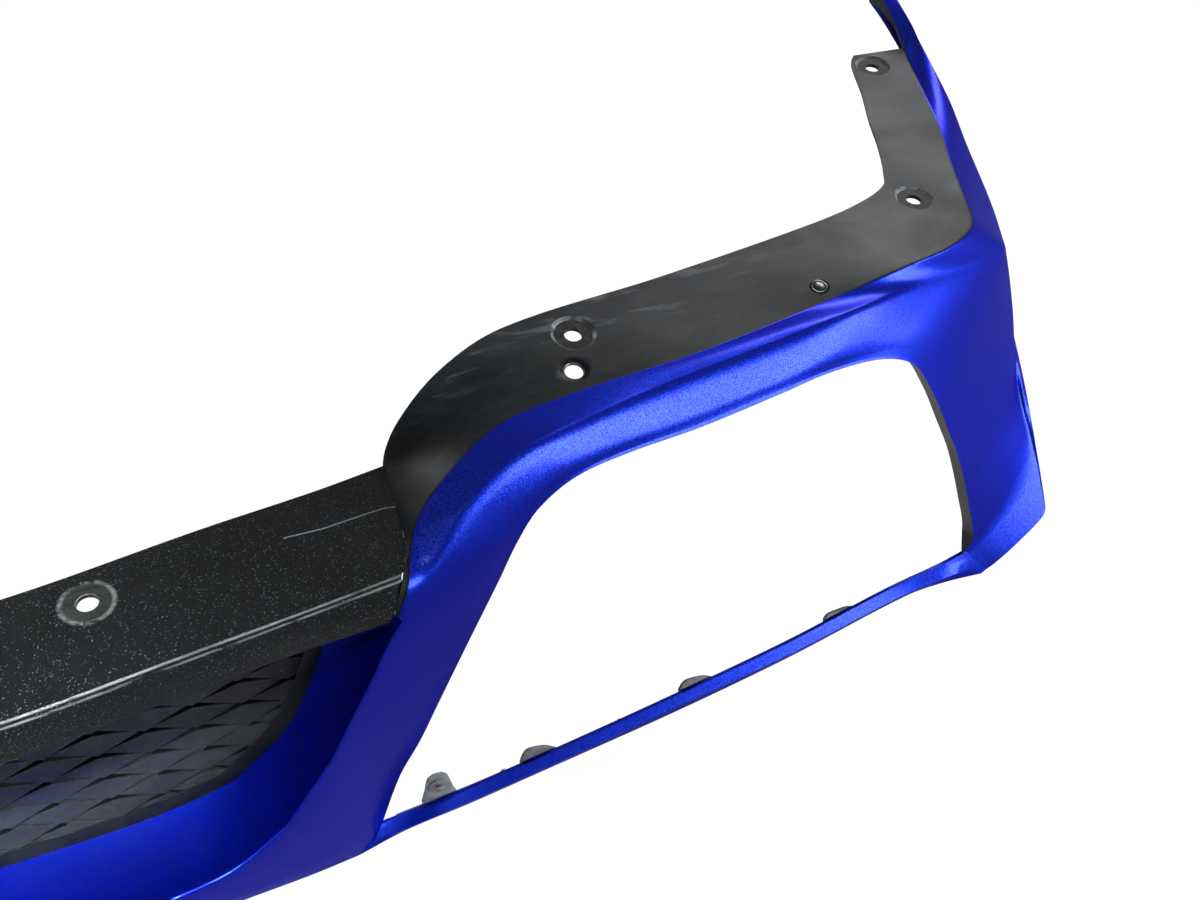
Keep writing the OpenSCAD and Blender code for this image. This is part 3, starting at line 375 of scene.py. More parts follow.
def turned(name, profile, looks, closed=False):
    """A solid turned about Z from (radius, height) points in mm; looks name a finish per part."""
    mesh = bmesh.new()
    points = [mesh.verts.new((r * MM, 0, z * MM)) for r, z in profile]
    pairs = list(zip(points, points[1:])) + [(points[-1], points[0])] * closed
    edges = [mesh.edges.new(pair) for pair in pairs]
    bmesh.ops.spin(mesh, geom=points + edges, cent=(0, 0, 0), axis=(0, 0, 1),
                   angle=2 * math.pi, steps=TURN_STEPS)
    bmesh.ops.remove_doubles(mesh, verts=mesh.verts, dist=SPUN_MERGE)
    bmesh.ops.recalc_face_normals(mesh, faces=mesh.faces)
    middles = [Vector((a[0] + b[0], 0, a[1] + b[1])) * MM / 2
               for a, b in zip(profile, profile[1:] + profile[:1] * closed)]
    finishes = list(dict.fromkeys(looks))
    for face in mesh.faces:
        spot = face.calc_center_median()
        spot = Vector((math.hypot(spot.x, spot.y), 0, spot.z))
        nearest = min(range(len(middles)), key=lambda i: (middles[i] - spot).length)
        face.material_index = finishes.index(looks[nearest])
        face.smooth = True
    return piece_of(mesh, name, finishes)


def stand(piece, place, normal):
    """Move a piece's mesh so that its Z axis stands on place along normal."""
    turn = Vector(normal).to_track_quat("Z", "Y").to_matrix().to_4x4()
    piece.data.transform(Matrix.Translation(Vector(place)) @ turn)
    return piece


def join(pieces, name):
    """One object made of several."""
    bpy.ops.object.select_all(action="DESELECT")
    for piece in pieces:
        piece.select_set(True)
    bpy.context.view_layer.objects.active = pieces[0]
    bpy.ops.object.join()
    pieces[0].name = name
    bpy.ops.object.select_all(action="DESELECT")
    return pieces[0]


def combine(piece, tool, how):
    """Cut a piece with a tool, or add the tool to it, and drop the tool."""
    step = piece.modifiers.new("combine", "BOOLEAN")
    step.operation, step.object, step.solver = how, tool, "EXACT"
    step.material_mode = "TRANSFER"
    bpy.context.view_layer.objects.active = piece
    bpy.ops.object.modifier_apply(modifier=step.name)
    bpy.data.objects.remove(tool)


def soften(piece, width, degrees=35):
    """Round the sharp edges of a piece a little, as moulded and turned edges are."""
    step = piece.modifiers.new("soften", "BEVEL")
    step.width, step.segments = width * MM, BEVEL_STEPS
    step.limit_method, step.angle_limit = "ANGLE", math.radians(degrees)
    bpy.context.view_layer.objects.active = piece
    bpy.ops.object.modifier_apply(modifier=step.name)


def loose_boxes(node):
    """Low and high corners of every separate body in a solid's mesh."""
    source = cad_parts[node]
    mesh = bmesh.new()
    mesh.from_mesh(source.data)
    mesh.transform(source.matrix_world)
    bmesh.ops.remove_doubles(mesh, verts=mesh.verts, dist=MERGE)
    left, boxes = set(mesh.verts), []
    while left:
        reach = [left.pop()]
        for vert in reach:
            near = {edge.other_vert(vert) for edge in vert.link_edges} & left
            left -= near
            reach.extend(near)
        boxes.append([Vector([pick(v.co[i] for v in reach) for i in range(3)])
                      for pick in (min, max)])
    mesh.free()
    return boxes


# %% [markdown]
# ## The skin
# The skin is one long moulding: a band that runs from the centre lip up the pillar, over
# the lamp opening and round to the wheel arch, with a chamfer, a bare flange, a scoop and a
# thin lower strip. Its solid is made of coarse triangles, and subdividing those would
# round off the creases that give the part its look. So the surface is laid again, as
# patches between the same stations but with more rows. Stations are in mm from the centre
# line, the nose and the feet; a curve through them is a cubic with corners where asked.

# %% Stations of the skin
NOSE = -231
FINE = 4
lip_edge = [(0, 16, 58), (110, 21, 54), (204, 33, 44), (251, 52, 22)]
lip_crest = [(0, 0, 92), (90, 6, 91), (171, 14, 91), (206, 19, 93)]
lip_mouth = [(0, 79, 89), (80, 79, 89), (150, 79, 91), (190, 79, 96)]
foot_bottom, foot_mid, foot_top = (284, 72, 0), (297, 76, 6), (304, 82, 12)
foot_crest = [(240, 24, 110), (274, 29, 150)]
foot_mouth = [(216, 79, 103), (243, 79, 124)]
opening_edge = [
    (321, 79, 59), (337, 76, 90), (353, 73, 126), (375, 69, 175), (396, 64, 223),
    (409, 62, 252), (424, 64, 271), (451, 70, 283), (490, 78, 285), (544, 86, 285),
    (607, 94, 290), (651, 102, 292), (698, 110, 287), (731, 115, 272), (755, 117, 240),
    (776, 118, 202), (794, 119, 168), (815, 120, 115), (827, 120, 76),
]
opening_crest = [
    (289, 30, 177), (304, 31, 202), (316, 32, 224), (327, 33, 240), (341, 37, 256),
    (355, 43, 272), (377, 55, 294), (415, 70, 311), (465, 85, 314), (523, 98, 316),
    (613, 110, 322), (678, 119, 327), (770, 146, 322), (818, 162, 318), (850, 177, 315),
    (877, 182, 248), (886, 169, 185), (893, 154, 150), (897, 146, 132),
]
heel_top, heel_mid, heel_bottom = (820, 120, 64), (833, 115, 49), (838, 113, 41)
heel_crest = [(900, 139, 117), (905, 123, 80)]
pillar_mouth = [(258, 79, 140), (270, 79, 161), (279, 79, 180), (286, 79, 198)]
mouth_top = (293, 79, 226)
flange_paint = [
    (325, 34, 243), (333, 35, 262), (342, 55, 276), (350, 65, 287), (372, 75, 304),
    (413, 100, 313), (470, 110, 317), (558, 118, 321), (640, 131, 326), (735, 142, 338),
    (777, 151, 341), (806, 167, 345),
]
flange_rear = [
    (323, 35, 244), (330, 37, 265), (339, 61, 273), (342, 86, 278), (344, 124, 286),
    (356, 130, 309), (391, 148, 330), (441, 170, 338), (560, 186, 343), (680, 202, 351),
    (732, 213, 355), (766, 228, 359),
]
wing_crest = [
    (868, 222, 331), (880, 277, 358), (889, 317, 379), (897, 362, 399), (900, 387, 412),
    (901, 398, 419), (902, 426, 434), (902, 462, 452),
]
wing_paint = [
    (822, 199, 351), (838, 242, 362), (855, 280, 370), (874, 335, 383), (887, 380, 396),
    (890, 391, 402), (890, 422, 427), (890, 460, 448),
]
flange_wing = [
    (780, 249, 363), (794, 279, 369), (806, 312, 377), (821, 349, 387), (836, 390, 396),
    (845, 401, 398),
]
strip_bottom = [
    (320, 79, 1), (369, 83, 2), (429, 88, 5), (540, 95, 14), (645, 103, 25), (761, 113, 42),
    (800, 114, 43),
]
strip_mid = [
    (318, 76, 6), (366, 80, 7), (429, 85, 11), (538, 92, 22), (643, 99, 33), (752, 109, 48),
    (797, 112, 50),
]
strip_top = [
    (328, 86, 9), (365, 87, 12), (437, 91, 18), (535, 96, 29), (645, 104, 41),
    (742, 114, 54), (800, 120, 58),
]
arch_pull = [(890, 170, 210), (884, 320, 385)]
arch_end = (899, 462, 425)
foot_share = (0, 0.16, 0.19, 0.5, 0.83, 0.86, 1)
WALL, RETURN_DEPTH, FOOT_DEPTH, TRAY_DEPTH, RETURN_WALL = 3, 15, 12, 40, 2.5
SLANT, TRAY_END = 1.06, 3
FOOT_0, FOOT_1, SEAM, CORNER, HEEL_0, HEEL_1 = 4, 10, 14, 25, 30, 36


# %% Curves through stations
def as_vectors(points):
    return [Vector(p) for p in points]


def mix(a, b, t):
    return a * (1 - t) + b * t


def slope(points, corners, i, side):
    """Slope of a curve at station i: one-sided at a corner."""
    hard = i in corners or i in (0, len(points) - 1)
    a = i if hard and side > 0 else max(i - 1, 0)
    b = i if hard and side < 0 else min(i + 1, len(points) - 1)
    run = (points[b] - points[i]).length + (points[i] - points[a]).length
    return (points[b] - points[a]) / run if run else Vector()


def between(points, corners, i, t):
    """Cubic from station i to the next."""
    run = (points[i + 1] - points[i]).length
    m0, m1 = slope(points, corners, i, 1) * run, slope(points, corners, i + 1, -1) * run
    return (points[i] * (2 * t**3 - 3 * t**2 + 1) + m0 * (t**3 - 2 * t**2 + t)
            + points[i + 1] * (3 * t**2 - 2 * t**3) + m1 * (t**3 - t**2))


def curve(points, corners, steps):
    """Points of a curve, with steps[i] pieces after station i."""
    points = as_vectors(points)
    made = [between(points, corners, i, s / n) for i, n in enumerate(steps) for s in range(n)]
    return made + [points[-1]]


def stations_of(steps, start):
    """Station of every column, counted on from start."""
    made = [start + i + s / n for i, n in enumerate(steps) for s in range(n)]
    return made + [start + len(steps)]


def read(table, s):
    """A table of (station, direction) read at any station."""
    for (s0, d0), (s1, d1) in zip(table, table[1:]):
        if s <= s1:
            return mix(Vector(d0), Vector(d1), min(max((s - s0) / (s1 - s0), 0), 1))
    return Vector(table[-1][1])


def grown(table, s):
    """Step from the outer to the inner skin; over the wall, as it is seldom square to it."""
    return read(table, s).normalized() * WALL * SLANT


def split(low_end, middle, high_end):
    """A column of the foot or heel, where the end of the strip joins it."""
    a, b, c = as_vectors((low_end, middle, high_end))
    return [mix(a, b, s * 2) if s <= 0.5 else mix(b, c, s * 2 - 1) for s in foot_share]


def spread(ends):
    """A column between two points, with the rows of the foot or heel."""
    a, b = as_vectors(ends)
    return [mix(a, b, s) for s in foot_share]


# %% Directions in which the wall grows
crest_in = [(0, (0, 0.8, -0.6)), (3, (0.2, 0.85, -0.5)), (4, (0.4, 0.9, -0.2)),
            (11, (0.45, 0.85, -0.2)), (14, (0.4, 0.85, -0.4)), (17, (0.3, 0.7, -0.6)),
            (19, (0, 0.6, -0.8)), (23, (0, 0.6, -0.8)), (25, (-0.6, 0.55, -0.55)),
            (26, (-0.8, 0.6, -0.1)), (36, (-0.8, 0.6, 0))]
edge_in = [(0, (0, 1, 0)), (22, (0, 1, 0)), (26, (-0.3, 0.95, 0)), (36, (-0.3, 0.95, 0))]
paint_in = [(14, (0.6, 0.6, -0.5)), (17, (0.5, 0.5, -0.7)), (19, (0.2, 0.4, -0.9)),
            (21, (0, 0.3, -0.95)), (25, (-0.1, 0.2, -0.97)), (32, (-0.1, 0, -1))]
rear_in = [(14, (0.7, 0.6, -0.4)), (17, (0.6, 0.4, -0.7)), (19, (0.6, 0.1, -0.8)),
           (21, (0.1, 0.3, -0.95)), (25, (0, 0.2, -0.98)), (32, (0.1, 0, -1))]
mouth_in = [(0, (0, 0, -1)), (2, (0, 0, -1)), (4, (0.6, 0, -0.8)), (10, (0.75, 0, -0.65)),
            (14, (0.93, 0, -0.35)), (15, (0.97, 0, -0.2))]
wing_in = [(25, (-0.6, 0.55, -0.55)), (26, (-0.75, 0.1, -0.65)), (28, (-0.42, 0.42, -0.8)),
           (30.5, (-0.42, 0.42, -0.8)), (32, (-0.6, 0.1, -0.8))]


def chamfer_in(s):
    return grown(crest_in if s <= CORNER else wing_in, s)


def edge_depth(s):
    """How far the wall behind the edge of the band reaches back."""
    if s <= TRAY_END:
        return TRAY_DEPTH
    if s < FOOT_0:
        return TRAY_DEPTH + (FOOT_DEPTH - TRAY_DEPTH) * (s - TRAY_END)
    if s <= FOOT_0 + 1 or s >= HEEL_1 - 1:
        return FOOT_DEPTH
    if s <= FOOT_1 or s >= HEEL_0:
        return WALL
    return min(RETURN_DEPTH, WALL + (RETURN_DEPTH - WALL) * min(s - FOOT_1, HEEL_0 - s))


# %% [markdown]
# ### Patches
# Each patch is a list of columns, and each column has its outer and its inner points, from
# one side of the patch to the other. Where two patches meet at a crease, both columns end
# in half of the same small arc, so the crease is rounded as a moulding's is, and merging by
# distance closes all the patches into one shell. The bevel tool takes one width for all
# edges, and the short columns at the ends would hold it to almost nothing.

# %% Arc between two patches
HALF_ARC, INNER_STEPS = (0, 0.17, 0.34, 0.5), (0.4, 0.6, 0.8)
MOST_OF_ROW, EASE = 0.8, 0.8


def half_arc(before, tip, after, radius):
    """Half of the arc that rounds a crease at tip, from the side of before."""
    radius = min(radius, MOST_OF_ROW * (tip - before).length, MOST_OF_ROW * (after - tip).length)
    a = tip + (before - tip).normalized() * radius
    b = tip + (after - tip).normalized() * radius
    return [a * (1 - t) ** 2 + tip * (2 * t * (1 - t)) + b * t**2 for t in HALF_ARC]


def round_end(column, after, radius):
    """A column whose last point is the middle of the arc towards the point after."""
    outer, inner = column
    arc = half_arc(outer[-2], outer[-1], after, radius)
    steps = [mix(inner[-2], inner[-1], t) for t in INNER_STEPS]
    return outer[:-1] + arc, inner[:-1] + steps + [inner[-1]]


def round_start(column, before, radius):
    """The same for the first point of a column."""
    outer, inner = round_end((column[0][::-1], column[1][::-1]), before, radius)
    return outer[::-1], inner[::-1]


def eased(s, full, *stops):
    """A radius that shrinks to nothing at the stations where three patches meet."""
    return full * min([1] + [abs(s - stop) / EASE for stop in stops])


# %% Main band
band_steps = [1 if FOOT_0 <= i < FOOT_1 or i >= HEEL_0 - 1 else 2 * FINE
              for i in range(HEEL_1)]
hard_columns = list(range(FOOT_0, FOOT_1 + 1)) + list(range(HEEL_0, HEEL_1 + 1))
edge_stations = (lip_edge + split(foot_bottom, foot_mid, foot_top) + opening_edge
                 + split(heel_bottom, heel_mid, heel_top)[::-1])
crest_stations = lip_crest + spread(foot_crest) + opening_crest + spread(heel_crest)
band_edge = curve(edge_stations, hard_columns, band_steps)
band_crest = curve(crest_stations, hard_columns + [CORNER], band_steps)
band_at = stations_of(band_steps, 0)
column_of = {s: i for i, s in enumerate(band_at)}
at_seam, at_corner = column_of[SEAM], column_of[CORNER]
BULGE, EDGE_STEP = 2.5, 0.5
FACE_ROWS = (0.12, 0.24, 0.35, 0.46, 0.58, 0.7, 0.79, 0.87)


def band_column(e, c, s):
    up = (c - e).normalized()
    back = Vector((0, edge_depth(s), 0))
    e_in, c_in = grown(edge_in, s), grown(crest_in, s)
    a, b = e + up * RETURN_WALL, e + up * (RETURN_WALL + EDGE_STEP)
    outer, inner = [e, a, b], [e + back, a + back, b + e_in]
    for t in FACE_ROWS:
        out = mix(e_in, c_in, t) * (1 - abs(2 * t - 1) ** 3) * BULGE / WALL
        outer.append(mix(b, c, t) - out)
        inner.append(mix(b, c, t) + mix(e_in, c_in, t) - out)
    return outer + [c], inner + [c + c_in]


band = [band_column(*three) for three in zip(band_edge, band_crest, band_at)]

# %% Chamfer and bare flange
wing_steps = [6, 6, 6, 6, 3, 3, 6, 3]
chamfer_steps = band_steps[SEAM:CORNER] + wing_steps
chamfer_at = stations_of(chamfer_steps, SEAM)
wing_edge = curve([opening_crest[CORNER - FOOT_1 - 1]] + wing_crest, [], wing_steps)
chamfer_crest = band_crest[at_seam:at_corner] + wing_edge
chamfer_paint = curve(flange_paint + wing_paint, [], chamfer_steps)
CHAMFER_ROWS = (0, 0.3, 0.5, 0.7, 1)
FLANGE_ROWS = [i / 14 for i in range(15)]
ROUND = 0.5


def chamfer_column(crest, paint, s):
    outer, inner = [], []
    for t in CHAMFER_ROWS:
        outer.append(mix(crest, paint, t) - chamfer_in(s) * 4 * t * (1 - t) * ROUND / WALL)
        inner.append(mix(crest + chamfer_in(s), paint + grown(paint_in, s), t))
    return outer, inner


def flange_column(paint, rear, s):
    inner_paint, inner_rear = paint + grown(paint_in, s), rear + grown(rear_in, s)
    return ([mix(paint, rear, t) for t in FLANGE_ROWS],
            [mix(inner_paint, inner_rear, t) for t in FLANGE_ROWS])


flange_steps = chamfer_steps[:-2]
flange_at = stations_of(flange_steps, SEAM)
flange_edge = curve(flange_rear + flange_wing, [], flange_steps)
chamfer = [chamfer_column(*three) for three in zip(chamfer_crest, chamfer_paint, chamfer_at)]
flange = [flange_column(*three) for three in zip(chamfer_paint, flange_edge, flange_at)]

# %% Side of the wing
side_edge = band_crest[at_corner:]
wing_corner, heel_end, wing_tip = side_edge[0], side_edge[-1], wing_edge[-1]
SIDE_PARTS = 24
arch = [heel_end] + as_vectors(arch_pull) + [Vector(arch_end)]


def rib(j):
    """End of rib j of the side, on the cubic of the wheel arch or at the wing tip."""
    if j == SIDE_PARTS:
        return wing_tip
    t = j / (SIDE_PARTS - 1)
    u = 1 - t
    return arch[0] * u**3 + arch[1] * 3 * t * u**2 + arch[2] * 3 * t**2 * u + arch[3] * t**3


def side_column(i):
    a, b = side_edge[i], wing_edge[i]
    fa = (a - wing_corner).length / (heel_end - wing_corner).length
    fb = (b - wing_corner).length / (wing_tip - wing_corner).length
    a_in = grown(crest_in, band_at[at_corner + i])
    b_in = chamfer_in(chamfer_at[at_corner - at_seam + i])
    outer, inner = [], []
    for j in range(SIDE_PARTS + 1):
        t = j / SIDE_PARTS
        point = (wing_corner + (rib(j) - wing_corner) * (fa * (1 - t) + fb * t)
                 + (a - mix(wing_corner, heel_end, fa)) * (1 - t)
                 + (b - mix(wing_corner, wing_tip, fb)) * t)
        into = mix(a_in, Vector((-WALL, 0, 0)), min(1, 3 * t))
        into = mix(into, b_in, max(0, 3 * t - 2))
        if i == 0:
            point, into = wing_corner, a_in
        elif j in (0, SIDE_PARTS):
            point = b if j else a
        outer.append(point)
        inner.append(point + into)
    return outer, inner


side = [side_column(i) for i in range(len(side_edge))]

# %% Scoop of the mouth
mouth_end = Vector(pillar_mouth[-1])
mouth_line = lip_mouth + spread(foot_mouth) + pillar_mouth
mouth_edge = curve(mouth_line, [], band_steps[:SEAM])
SAG, SAG_REACH = 4, 60
SCOOP_ROWS = [i / 14 for i in range(15)]


def scoop_column(crest, crest_inner, mouth, s):
    into = grown(mouth_in, s)
    sag = into * SAG / WALL * min((mouth - crest).length / SAG_REACH, 1)
    outer = [mix(crest, mouth, t) + sag * 4 * t * (1 - t) for t in SCOOP_ROWS]
    inner = [mix(crest_inner, mouth + into, t) + sag * 4 * t * (1 - t) for t in SCOOP_ROWS]
    return outer, inner


scoop = [scoop_column(band_crest[k], band[k][1][-1], mouth_edge[k], band_at[k])
         for k in range(at_seam + 1)]

# %% Round the creases between patches
CREST_ROUND, WING_ROUND, PAINT_ROUND = 6, 3.5, 2.5
raw_band, raw_scoop, raw_chamfer = band, scoop, chamfer
raw_flange, raw_side = flange, side
band, scoop, chamfer, flange, side = [], [], [], [], []
for k, s in enumerate(band_at):
    radius = eased(s, CREST_ROUND, SEAM, CORNER)
    if k <= at_seam:
        after = raw_scoop[k][0][1]
        scoop.append(round_start(raw_scoop[k], raw_band[k][0][-2], radius))
    elif k <= at_corner:
        after = raw_chamfer[k - at_seam][0][1]
    else:
        after = raw_side[k - at_corner][0][1]
    band.append(round_end(raw_band[k], after, radius))
for k, s in enumerate(chamfer_at):
    if s <= CORNER:
        before = raw_band[at_seam + k][0][-2]
        column = round_start(raw_chamfer[k], before, eased(s, CREST_ROUND, SEAM, CORNER))
    else:
        before = raw_side[k - at_corner + at_seam][0][-2]
        column = round_start(raw_chamfer[k], before, eased(s, WING_ROUND, CORNER))
    radius = eased(s, PAINT_ROUND, SEAM, flange_at[-1])
    if k < len(flange_at):
        column = round_end(column, raw_flange[k][0][1], radius)
        flange.append(round_start(raw_flange[k], raw_chamfer[k][0][-2], radius))
    else:
        column = round_end(column, column[0][-1], 0)
    chamfer.append(column)
for i, column in enumerate(raw_side):
    s, k = band_at[at_corner + i], at_corner - at_seam + i
    column = round_start(column, raw_band[at_corner + i][0][-2], eased(s, CREST_ROUND, CORNER))
    radius = eased(chamfer_at[k], WING_ROUND, CORNER)
    side.append(round_end(column, raw_chamfer[k][0][1], radius))

# %% Scoop beside the chamfer and the flange
REPEATS, CHAMFER_SHARE = 3, 0.4


def shares(rows, at_start, at_end):
    """Rows with the ends repeated for the points that a rounded crease adds."""
    return [rows[0]] * REPEATS * at_start + list(rows) + [rows[-1]] * REPEATS * at_end


outer_end = list(zip(chamfer[0][0], chamfer[0][1], shares(CHAMFER_ROWS, 1, 1)))[1:-1]
outer_end = [(a, b, CHAMFER_SHARE * t) for a, b, t in outer_end]
outer_end += [(a, b, CHAMFER_SHARE + (1 - CHAMFER_SHARE) * t)
              for a, b, t in zip(flange[0][0], flange[0][1], shares(FLANGE_ROWS, 1, 0))]
for crest, crest_inner, t in outer_end:
    column = scoop_column(crest, crest_inner, mix(mouth_end, Vector(mouth_top), t), SEAM + t)
    scoop.append(round_start(column, crest, 0))

# %% Lower strip
strip_steps = [2 * FINE] * 7 + [FINE]
strip_lines = [curve([ends[0]] + middle + [ends[1]], [], strip_steps)
               for ends, middle in (((foot_bottom, heel_bottom), strip_bottom),
                                    ((foot_mid, heel_mid), strip_mid),
                                    ((foot_top, heel_top), strip_top))]
strip = []
for three in zip(*strip_lines):
    column = split(*three)
    depths = [FOOT_DEPTH, FOOT_DEPTH] + [WALL] * 5
    strip.append((column, [p + Vector((0, d, 0)) for p, d in zip(column, depths)]))

# %% [markdown]
# ### Shell
# Faces are laid on the columns of every patch and carry their finish from the patch they
# belong to: paint, bare flange or back. Each face also gets a map in metres, with V
# counted from the paint line on the flange, so the wear along that line can follow it.

# %% Lay one patch
PAINT, BARE, BACK = range(3)


def lay(shell, patch, rims, looks, flip, zero=0):
    """Faces of one patch on both skins, and rims; V of the map is counted from row zero."""
    uv = shell.loops.layers.uv.verify()
    rows, columns = len(patch[0][0]), len(patch)
    turn = Vector((-1 if flip else 1, 1, 1))

    def corner_of(point):
        return shell.verts.new((Vector(point) + Vector((0, NOSE, 0))) * turn * MM)

    skins = [[[corner_of(p) for p in column[side_no]] for column in patch] for side_no in (0, 1)]
    middle = rows // 2
    run = [0.0]
    for a, b in zip(patch, patch[1:]):
        run.append(run[-1] + (b[0][middle] - a[0][middle]).length * MM)
    across = []
    for outer, _ in patch:
        far = [0.0]
        for a, b in zip(outer, outer[1:]):
            far.append(far[-1] + (b - a).length * MM)
        across.append(far)

    def face(corners, look, places):
        made = shell.faces.new(corners)
        made.material_index = look
        made.smooth = True
        for loop, (k, j) in zip(made.loops, places):
            loop[uv].uv = (run[k], across[k][j] - across[k][zero])

    for k in range(columns - 1):
        for j in range(rows - 1):
            places = [(k, j), (k + 1, j), (k + 1, j + 1), (k, j + 1)]
            for grid, look in ((skins[0], looks[0]), (skins[1], looks[1])):
                face([grid[a][b] for a, b in places], look, places)
    for way, start, stop in rims:
        for n in range(start, stop):
            places = {"low": [(n, 0), (n + 1, 0)], "high": [(n, rows - 1), (n + 1, rows - 1)],
                      "first": [(0, n), (0, n + 1)],
                      "last": [(columns - 1, n), (columns - 1, n + 1)]}[way]
            corners = [skins[0][a][b] for a, b in places]
            corners += [skins[1][a][b] for a, b in places[::-1]]
            face(corners, looks[2], places + places[::-1])


# %% Lay the skin
SKIN_ANGLE = 28
band_rows = len(band[0][0])
flange_end, flange_count = len(flange) - 1, len(flange[0][0])
skin_patches = [
    (band, [("low", 0, column_of[FOOT_0]), ("low", column_of[FOOT_1], column_of[HEEL_0]),
            ("last", 0, band_rows - 1)], (PAINT, BACK, BACK)),
    (chamfer, [("high", flange_end, len(chamfer) - 1), ("last", 0, len(chamfer[0][0]) - 1)],
     (PAINT, BACK, BACK)),
    (flange, [("high", 0, flange_end), ("last", 0, flange_count - 1)], (BARE, BACK, BARE)),
    (side, [("last", 0, len(side[0][0]) - 1)], (PAINT, BACK, PAINT)),
    (scoop, [("high", 0, len(scoop) - 1), ("last", 0, len(scoop[0][0]) - 1)],
     (PAINT, BACK, BACK)),
    (strip, [("low", 0, len(strip) - 1), ("high", 0, len(strip) - 1)], (PAINT, BACK, PAINT)),
]
shell = bmesh.new()
for patch, rims, looks in skin_patches:
    for flip in (False, True):
        lay(shell, patch, rims, looks, flip)
bmesh.ops.remove_doubles(shell, verts=shell.verts, dist=MERGE)
bmesh.ops.dissolve_degenerate(shell, edges=shell.edges, dist=TOO_SHORT)
bmesh.ops.recalc_face_normals(shell, faces=shell.faces)
print("open edges in the shell:", sum(not e.is_manifold for e in shell.edges))
skin = piece_of(shell, "skin", [blue_paint, bare_plastic, back_plastic])
print("skin has", len(skin.data.polygons), "faces")
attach(skin, "cover")
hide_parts("bumper_skin")
smooth(skin, SKIN_ANGLE)

# %% [markdown]
# ### Seats, holes and bosses
# The flange has round seats that were pressed flat by the washers of its push rivets, a
# plain hole with a sunk rim, and the seat of a small clip. Each is cut with a turned tool:
# a lathe profile gives the sloping rim, the floor and the hole in one go. The bosses under
# them are added first, so that the same tool drills both.

# %% Places on the flange
def flange_place(station, share):
    """Point and outward normal of the bare flange, in metres."""
    k = min(range(len(flange_at)), key=lambda i: abs(flange_at[i] - station))
    k = k - 1 if flange_at[k] > station or k == len(flange_at) - 1 else k
    t = (station - flange_at[k]) / (flange_at[k + 1] - flange_at[k])
    paint = mix(chamfer_paint[k], chamfer_paint[k + 1], t)
    rear = mix(flange_edge[k], flange_edge[k + 1], t)
    along = mix(chamfer_paint[k + 1], flange_edge[k + 1], share)
    along -= mix(chamfer_paint[k], flange_edge[k], share)
    place = (mix(paint, rear, share) + Vector((0, NOSE, 0))) * MM
    return place, along.cross(rear - paint).normalized()


CLIP_SEATS = [(21.05, 0.68), (25.1, 0.65), (29.85, 0.65)]
OPEN_HOLE, CLIP_PLACE = (20.35, 0.3), (22.4, 0.2)
SEAT_R, HOLE_R, SEAT_DEEP, BOSS_T = 15, 6, 2, 3
CLIP_SEAT_R, CLIP_HOLE_R = 7, 4.3
BOSS_WALL, BOSS_TOP, PILOT = 1.5, -1.2, 1
MOUTH_Y = 79 + NOSE
CARRIER_BOSS = 5.5


def on_both_sides(make, places):
    """The pieces that make() gives at each place and at its mirror image."""
    made = []
    for place, normal in places:
        for way in (1, -1):
            made.append(stand(make(), (place.x * way, place.y, place.z),
                              (normal.x * way, normal.y, normal.z)))
    return made


def tube(outer, inner, low_z, high_z):
    """An upright ring with these radii and heights."""
    profile = [(inner, low_z), (outer, low_z), (outer, high_z), (inner, high_z)]
    return turned("boss", profile, [back_plastic] * 4, closed=True)


def screw_boss(middle, outer, inner, start, stop):
    """A boss along Y from start to stop, around a screw with this middle."""
    boss = tube(outer, inner, start, stop)
    boss.data.transform(Matrix.Rotation(math.radians(-90), 4, "X"))
    boss.data.transform(Matrix.Translation((middle.x, 0, middle.z)))
    return boss


seat_places = [flange_place(*seat) for seat in CLIP_SEATS]
clip_at, hole_at = [flange_place(*CLIP_PLACE)], [flange_place(*OPEN_HOLE)]
bosses = []
for radius, hole, places in ((SEAT_R, HOLE_R, seat_places), (CLIP_SEAT_R, CLIP_HOLE_R, clip_at)):
    bosses += on_both_sides(lambda: tube(radius + BOSS_WALL, hole - PILOT, -SEAT_DEEP - BOSS_T,
                                         BOSS_TOP), places)
for node, radius, bore, cover in (("grille_screws", 5, 2, -2.5),
                                  ("carrier_screws_left", 3, 1.25, 3),
                                  ("carrier_screws_right", 3, 1.25, 3)):
    for lo, hi in loose_boxes(node):
        start = lo.y / MM - cover
        stop = MOUTH_Y if node == "grille_screws" else start + CARRIER_BOSS
        bosses.append(screw_boss((lo + hi) / 2, radius, bore, start, stop))
print("bosses under the skin:", len(bosses))
combine(skin, join(bosses, "bosses"), "UNION")

# %% Cut the seats and holes
# The sloping rims are painted light grey: partly rubbed wear, partly a painted highlight that stands
# in for the light a sloping rim catches.
seat_rim_wear_and_highlight, tree, shader = new_material("seat_rim_wear_and_highlight")
wear_and_sheen = use_group(tree, scuff, {"Size": 130.0, "From": 0.42, "To": 0.66})
tone = two_tones(tree, (0.02, 0.022, 0.023), (0.09, 0.095, 0.10), wear_and_sheen.outputs["Mask"])
dress(tree, shader, Base_Color=tone, Roughness=0.35, Specular_IOR_Level=0.2)

seat_floor, tree, shader = new_material("seat_floor")
wear_and_sheen = use_group(tree, scuff, {"Size": 170.0, "From": 0.4, "To": 0.68})
bits = use_group(tree, scuff, {"Size": 480.0, "From": 0.62, "To": 0.72})
tone = two_tones(tree, (0.002, 0.0024, 0.0025), (0.016, 0.0175, 0.018), wear_and_sheen.outputs["Mask"])
tone = over(tree, tone, (0.08, 0.085, 0.085), bits.outputs["Mask"])
dress(tree, shader, Base_Color=tone, Roughness=0.55, Specular_IOR_Level=0.06)

TOOL_TOP, TOOL_END, TOOL_LIP = 8, -20, 0.2
SEAT_SLOPE, CLIP_SLOPE = 2.2, 0.3


